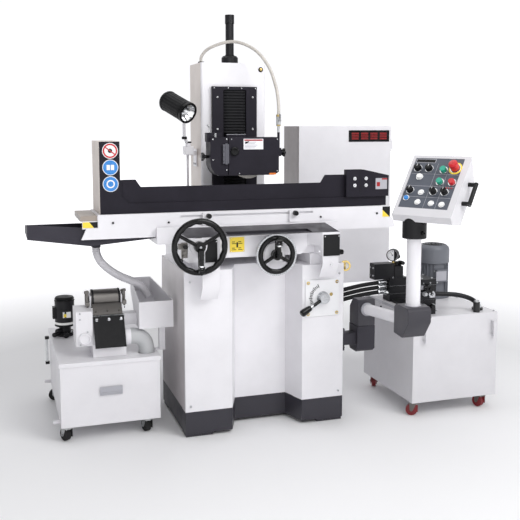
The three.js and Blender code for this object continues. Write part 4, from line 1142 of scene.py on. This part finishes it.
# ---------- Hydraulic unit ----------
def add_motor():
    x, y, z = 1100, 350, 510.4
    fins = Build()
    for k in range(28):
        angle = math.tau * k / 28
        if 248 < math.degrees(angle) < 292:
            continue
        c, s = math.cos(angle), math.sin(angle)
        side = Vector((-s, c, 0)) * 1.6
        inner, outer = Vector((c, s, 0)) * 72, Vector((c, s, 0)) * 84
        ring = [inner - side, outer - side, outer + side, inner + side]
        low, high = ([(x + p.x, y + p.y, z + rise) for p in ring] for rise in (24, 188))
        prism(fins, high, low)
    fins.done("motor_fins", "motor_paint", "base", 0.4)
    cover = Build().turned((x, y, z + 194), ABOVE, [
        (80, 0), (88, 0), (88, 72), (83, 86), (70, 98), (0.01, 99), (0.01, 96), (70, 95), (80, 80)], 64)
    cover.done("motor_fan_cover", "motor_paint", "base", 0.5)
    grille = Build()
    for radius in (18, 32, 46, 60):
        grille.ring((x, y, z + 98 + 194.5), ABOVE, radius - 4, radius, 2, 48)
    grille.done("motor_grille", "black_satin", "base", 0.3)
    box_piece("motor_plate", "grey_plate", "base", 0.3,
              (x - 40, y - 106.5, z + 104), (x + 22, y - 103.5, z + 156))
    bolts = Build()
    bolts.screws([(x + dx, y - 104, z + dz) for dx in (-52, 32) for dz in (101, 159)], FORWARD, 3)
    for k in range(4):
        angle = math.radians(45 + 90 * k)
        bolts.cap_screw((x + 84 * math.cos(angle), y + 84 * math.sin(angle), z + 14), ABOVE, 5)
    bolts.done("motor_bolts", "steel", "base", 0.2)


def add_gauge():
    facing = Vector((-0.62, -0.78, 0))
    middle = Vector((828, 307, 762))
    case = Build().turned(middle, facing, [
        (0.01, -20), (28, -20), (33, -14), (33, 22), (29, 22), (29, 17), (0.01, 17)], 48)
    case.done("gauge_case", "black_gloss", "base", 0.6)
    dial = Build().rod(middle + facing * 16, middle + facing * 18, 28.6, sides=48)
    dial.done("gauge_dial", "white_plate", "base", 0.2)
    side = Vector(ABOVE).cross(facing).normalized()
    marks = Build()
    for k in range(13):
        angle = math.radians(-45 + 22.5 * k)
        ray = side * math.cos(angle) + Vector(ABOVE) * math.sin(angle)
        start = middle + facing * 18.4 + ray * 25
        marks.rod(start, start - ray * (4 if k % 3 else 7), 0.7, sides=6)
    needle = side * -0.6 + Vector(ABOVE) * 0.8
    marks.rod(middle + facing * 19, middle + facing * 19 + needle * 20, 0.8, sides=6)
    marks.rod(middle + facing * 18, middle + facing * 20.5, 3, sides=16)
    marks.done("gauge_marks", "black_satin", "base", 0)
    stem = Build().hexagon((828, 307, 700), (828, 307, 716), 11)
    stem.rod((828, 307, 700), (828, 307, 734), 7)
    stem.done("gauge_stem", "brass", "base", 0.4)


def add_valves():
    """Fittings, screws, seams, knobs and hose crimps of the valve block, and the tank's lid."""
    fittings = Build()
    for place in ((797, 300, 556), (797, 340, 600), (815, -50, 556), (815, -50, 620), (862, -50, 556)):
        start = Vector(place)
        way = Vector(LEFT if start.y > 0 else FORWARD)
        fittings.hexagon(start, start + way * 14, 13)
        fittings.rod(start + way * 14, start + way * 26, 9, sides=24)
    fittings.hexagon((1107, -76, 562), (1107, -76, 572), 13)
    fittings.done("valve_fittings", "zinc", "base", 0.5)
    caps = Build()
    caps.screws([(710, y, z) for y, z in ((302, 655), (338, 655), (302, 696), (338, 696))], LEFT, 5)
    caps.screws([(x, -50, z) for x in (812, 850, 888) for z in (528, 672)], FORWARD, 4)
    caps.screws([(x, y, 690) for x, y in ((815, -30), (870, -30), (815, 60), (870, 60))], ABOVE, 5)
    caps.screws([(x, y, 640) for x, y in ((812, 275), (892, 275), (812, 345), (892, 345))], ABOVE, 4)
    caps.done("valve_screws", "steel", "base", 0.2)
    stacks = Build()
    for z in (548, 586, 624, 662):
        stacks.box((798.5, -51.4, z), (886.5, 81.4, z + 1.6))
    for z in (552, 594):
        stacks.box((795.6, 278.6, z), (907.4, 361.4, z + 1.6))
    stacks.done("valve_seams", "steel", "base", 0)
    solenoid = Build()
    solenoid.rod((826, -58, 650), (826, -96, 650), 19, sides=40)
    solenoid.rod((826, -96, 650), (826, -104, 650), 8)
    solenoid.box((872, 100, 540), (896, 150, 600))
    solenoid.done("valve_solenoid", "black_gloss", "base", 1.2)
    box_piece("valve_labels", "grey_plate", "base", 0.2,
              (800, -52.2, 640), (832, -50, 660), (848, -52.2, 596), (880, -50, 616))
    port = Build().ring((846, -72, 620), FORWARD, 9, 17, 6)
    port.hexagon((1142, -36, 524), (1142, -36, 538), 17)
    port.done("valve_ports", "steel", "base", 0.4)
    crimps = Build()
    for drop in (0, 26, 52):
        crimps.rod((786, 318, 612 - drop), (752, 317, 611.5 - drop), 13, sides=28)
        crimps.hexagon((752, 317, 611.5 - drop), (744, 316.6, 611.3 - drop), 14)
        crimps.hexagon((794, 318, 612 - drop), (786, 318, 612 - drop), 14)
    crimps.rod((868, 24, 601), (884, 16, 597), 16, sides=28)
    crimps.done("hose_crimps", "steel", "base", 0.4)
    knobs = Build()
    knobs.rod((856, 330, 752), (856, 300, 752), 15, 13, 32).rod((856, 340, 752), (856, 330, 752), 8)
    knobs.rod((880, 310, 716), (880, 286, 716), 12, 10, 28)
    knobs.rod((852, 316, 700), (852, 316, 724), 11, sides=28).rod((876, 320, 638), (876, 320, 726), 9)
    knobs.rod((846, -76, 560), (846, -98, 560), 12, 10, 28)
    knobs.done("valve_knobs", "black_gloss", "base", 0.8)
    box_piece("tank_lid_strip", "grey_plate", "base", 0.3,
              (741, -94, 510.2), (768, 450, 512), (741, -94, 510.2), (792, -40, 512))
    bolts = Build()
    bolts.screws([(x, y, 510.4) for x in (752, 1204) for y in (-84, 90, 265, 440)], ABOVE, 5)
    bolts.done("tank_lid_bolts", "steel", "base", 0.2)


# ---------- Coolant unit ----------
def add_separator_details():
    plate = Build()
    corners = [(-793, 198, 562), (-649, 198, 562), (-649, 128, 428), (-793, 128, 428)]
    prism(plate, corners, [Vector(c) + Vector((0, -3.5, 2.0)) for c in corners])
    plate.done("separator_flap", "rubber", "base", 0.8)
    lug = Build()
    lug.box((-797, 195, 440), (-645, 222, 447)).box((-797, 205, 552), (-645, 226, 566))
    lug.done("separator_rails", "zinc", "base", 0.8)
    apron = Build()
    top = [(-790, 258, 612), (-652, 258, 612), (-652, 214, 566), (-790, 214, 566)]
    prism(apron, top, [Vector(c) + Vector((0, -2.6, 2.2)) for c in top])
    for x in (-775, -721, -667):
        apron.cap_screw((x, 226, 581), (0, -0.72, 0.69), 5)
    apron.done("separator_scraper", "dark_steel", "base", 0.3)
    posts = Build()
    for x in (-811, -636):
        posts.rod((x, 262, 596), (x, 262, 668), 5).rod((x, 262, 666), (x, 262, 678), 9, 7, 24)
        posts.box((x - 9, 250, 604), (x + 9, 276, 622))
        posts.rod((x, 300, 630), (x + (8 if x < -700 else -8), 300, 630), 16, sides=28)
        posts.rod((x, 334, 596), (x, 334, 652), 5).rod((x, 334, 650), (x, 334, 662), 9, 7, 24)
    posts.done("separator_posts", "dark_steel", "base", 0.5)
    boss = Build().turned((-836, 175, 470), FORWARD, [
        (0.01, -2), (27, -2), (27, 16), (22, 18), (22, 10), (0.01, 10)], 40)
    boss.ring((-646, 190, 462), RIGHT, 37.2, 41, 24, 48)
    boss.done("separator_bosses", "white_paint", "base", 0.6)
    bolts = Build()
    for x in (-778, -721, -664):
        bolts.hexagon((x, 190, 549), (x, 190 - 8, 549 + 4.5), 6)
        bolts.rod((x, 193, 548), (x, 188, 551), 9, sides=24)
    for z in (440, 500, 560, 588):
        bolts.cap_screw((-836 - (20 if z % 100 else -14), 175, z), FORWARD, 4)
    for y in (250, 350):
        for x in (-806, -640):
            bolts.cap_screw((x, y, 590), (1 if x > -700 else -1, 0, 0), 5)
    bolts.done("separator_bolts", "steel", "base", 0.2)
    rings = Build()
    for x in (-790, -664):
        rings.ring((x, 300, 630), RIGHT, 43.6, 45.6, 9, 56)
    rings.done("drum_rings", "black_satin", "drum", 0.3)


def add_coolant_details():
    tube = Build().rod((-975, 780, 200), (-975, 780, 330), 7, sides=24)
    tube.done("coolant_sight_tube", "glass", "base", 0.4)
    box_piece("sight_tube_ends", "black_satin", "base", 0.8,
              (-984, 770, 190), (-963, 790, 204), (-984, 770, 326), (-963, 790, 340))
    handle = Build()
    handle.box((-780, 94.5, 214), (-676, 97.5, 254)).box((-772, 91, 222), (-684, 96, 228))
    handle.done("tank_pull", "grey_plate", "base", 0.8)
    pump = Build()
    for z in (392, 430, 520, 560):
        pump.ring((-889, 634, z), ABOVE, 44, 51.5, 5, 48)
    dome = [(0.01, 0), (46, 0), (50, 4), (44, 12), (20, 16), (0.01, 16)]
    pump.turned((-889, 634, 569), ABOVE, dome, 48)
    pump.box((-950, 612, 470), (-925, 656, 530))
    pump.rod((-930, 590, 396), (-950, 570, 396), 12, sides=28)
    pump.rod((-889, 584, 392), (-889, 560, 392), 14)
    pump.done("pump_rings", "black_satin", "base", 0.8)
    band = Build().ring((-889, 634, 440), ABOVE, 44, 51.2, 12, 56)
    band.done("pump_band", "white_plastic", "base", 0.5)
    box_piece("pump_label", "label_white", "base", 0.3, (-902, 584.5, 478), (-862, 589, 508))
    box_piece("pump_label_mark", "yellow_plate", "base", 0, (-898, 583.6, 482), (-884, 584.8, 498))
    bolts = Build()
    for k in range(4):
        angle = math.radians(45 + 90 * k)
        bolts.cap_screw((-889 + 40 * math.cos(angle), 634 + 40 * math.sin(angle), 397), ABOVE, 4)
    bolts.screws([(-573, y * 0.5 + 110, 630) for y in (160, 300, 440)], LEFT, 3.4)
    bolts.done("coolant_bolts", "steel", "base", 0.2)


def add_casters():
    """Forks, bearings and axle bolts over each caster, on the body that swivels."""
    sets = (
        ("hydraulic", "dark_steel",
         ((773, -62, 60), (1158, -62, 20), (773, 406, -30), (1158, 406, 100))),
        ("coolant", "zinc",
         ((-927, 137, 30), (-552, 137, 20), (-927, 746, 80), (-552, 746, -20))),
    )
    for unit, finish, places in sets:
        for number, (x, y, heading) in enumerate(places, 1):
            turn = math.radians(heading)
            across = Vector((math.cos(turn), math.sin(turn), 0))
            behind = Vector((-math.sin(turn), math.cos(turn), 0))
            axle = Vector((x, y, 29)) + behind * 18
            fork = Build()
            fork.ring((x, y, 62), ABOVE, 6, 23.5, 9, 36)
            for side in (-1, 1):
                leg = axle + across * side * 15.2
                foot = Vector((leg.x, leg.y, 66)) - behind * 16
                fork.turned(leg - across * 2.6, across, [
                    (0.01, 0), (7, 0), (7, 5.2), (0.01, 5.2)], 28)
                slanted(fork, leg, foot, across * 2.7, behind)
                fork.hexagon(leg + across * side * 2, leg + across * side * 7, 6)
            fork.done(f"{unit}_caster_fork_{number}", finish, f"{unit}_caster_body_{number}", 0.5)


def slanted(build, low, high, half, along):
    """One leg plate of a fork: narrow at the axle, wide under the bearing."""
    hexahedron(build, [
        point + half * side + along * reach
        for side in (-1, 1)
        for point, reach in ((low, -9), (low, 9), (high, 26), (high, -8))
    ])


add_motor()
add_gauge()
add_valves()
add_separator_details()
add_coolant_details()
add_casters()


# ---------- Room and lights ---------------------
FLOOR_HALF, FLOOR_DROP = 40, -0.001
ROOM_WHITE = (0.98, 0.98, 1.0, 1)
SKY_LOW, SKY_HIGH, SKY_SEEN = 0.30, 0.98, 1.04


def floor_finish():
    """A pale matt floor that runs out into plain white a few metres away."""
    shader = Shader("studio_floor")
    shader.set("Base Color", (0.88, 0.88, 0.89, 1))
    shader.set("Roughness", 0.7)
    reach = shader.add("ShaderNodeVectorMath", operation="LENGTH")
    shader.links.new(shader.place, reach.inputs[0])
    shader.set("Emission Color", ROOM_WHITE)
    far = shader.remap(reach.outputs["Value"], 0.0, 0.92, 2.0, 5.0)
    shader.set("Emission Strength", far)
    return shader.material


def add_floor():
    half, drop = FLOOR_HALF, FLOOR_DROP
    corners = [(-half, -half, drop), (half, -half, drop), (half, half, drop), (-half, half, drop)]
    mesh = bpy.data.meshes.new("floor")
    mesh.from_pydata(corners, [], [(0, 1, 2, 3)])
    mesh.materials.append(floor_finish())
    floor = placed("floor", mesh)


def add_world():
    """Even sky light that is brighter towards the back, and plain white where the camera sees it."""
    world = bpy.data.worlds.new("studio")
    bpy.context.scene.world = world
    world.use_nodes = True
    tree = world.node_tree
    sky = tree.nodes["Background"]
    sky.inputs["Color"].default_value = ROOM_WHITE
    place = tree.nodes.new("ShaderNodeTexCoord")
    parts = tree.nodes.new("ShaderNodeSeparateXYZ")
    bright = tree.nodes.new("ShaderNodeMapRange")
    bright.inputs["From Min"].default_value = 0.25
    bright.inputs["From Max"].default_value = 0.75
    bright.inputs["To Min"].default_value = SKY_LOW
    bright.inputs["To Max"].default_value = SKY_HIGH
    tree.links.new(place.outputs["Generated"], parts.inputs[0])
    tree.links.new(parts.outputs["Y"], bright.inputs["Value"])
    seen = tree.nodes.new("ShaderNodeLightPath")
    pick = tree.nodes.new("ShaderNodeMix")
    pick.inputs["B"].default_value = SKY_SEEN
    tree.links.new(seen.outputs["Is Camera Ray"], pick.inputs["Factor"])
    tree.links.new(bright.outputs["Result"], pick.inputs["A"])
    tree.links.new(pick.outputs["Result"], sky.inputs["Strength"])
    bpy.context.scene.view_settings.view_transform = "Standard"


add_floor()
add_world()


def area(name, place, aim_at, size, power):
    data = bpy.data.lights.new(name, "AREA")
    data.shape = "RECTANGLE"
    data.size, data.size_y = size
    data.energy = power
    light = placed(name, data)
    light.location = at(*place)
    way = at(*aim_at) - light.location
    light.rotation_euler = way.to_track_quat("-Z", "Y").to_euler()


def add_lights():
    area("key_light", (1700, -3000, 3600), (0, 200, 900), (2.4, 2.4), 112)
    area("fill_light", (-1500, -4600, 2300), (-500, 200, 700), (3.0, 3.0), 55)
    area("top_light", (0, 300, 4300), (0, 200, 0), (4.0, 4.0), 50)


add_lights()
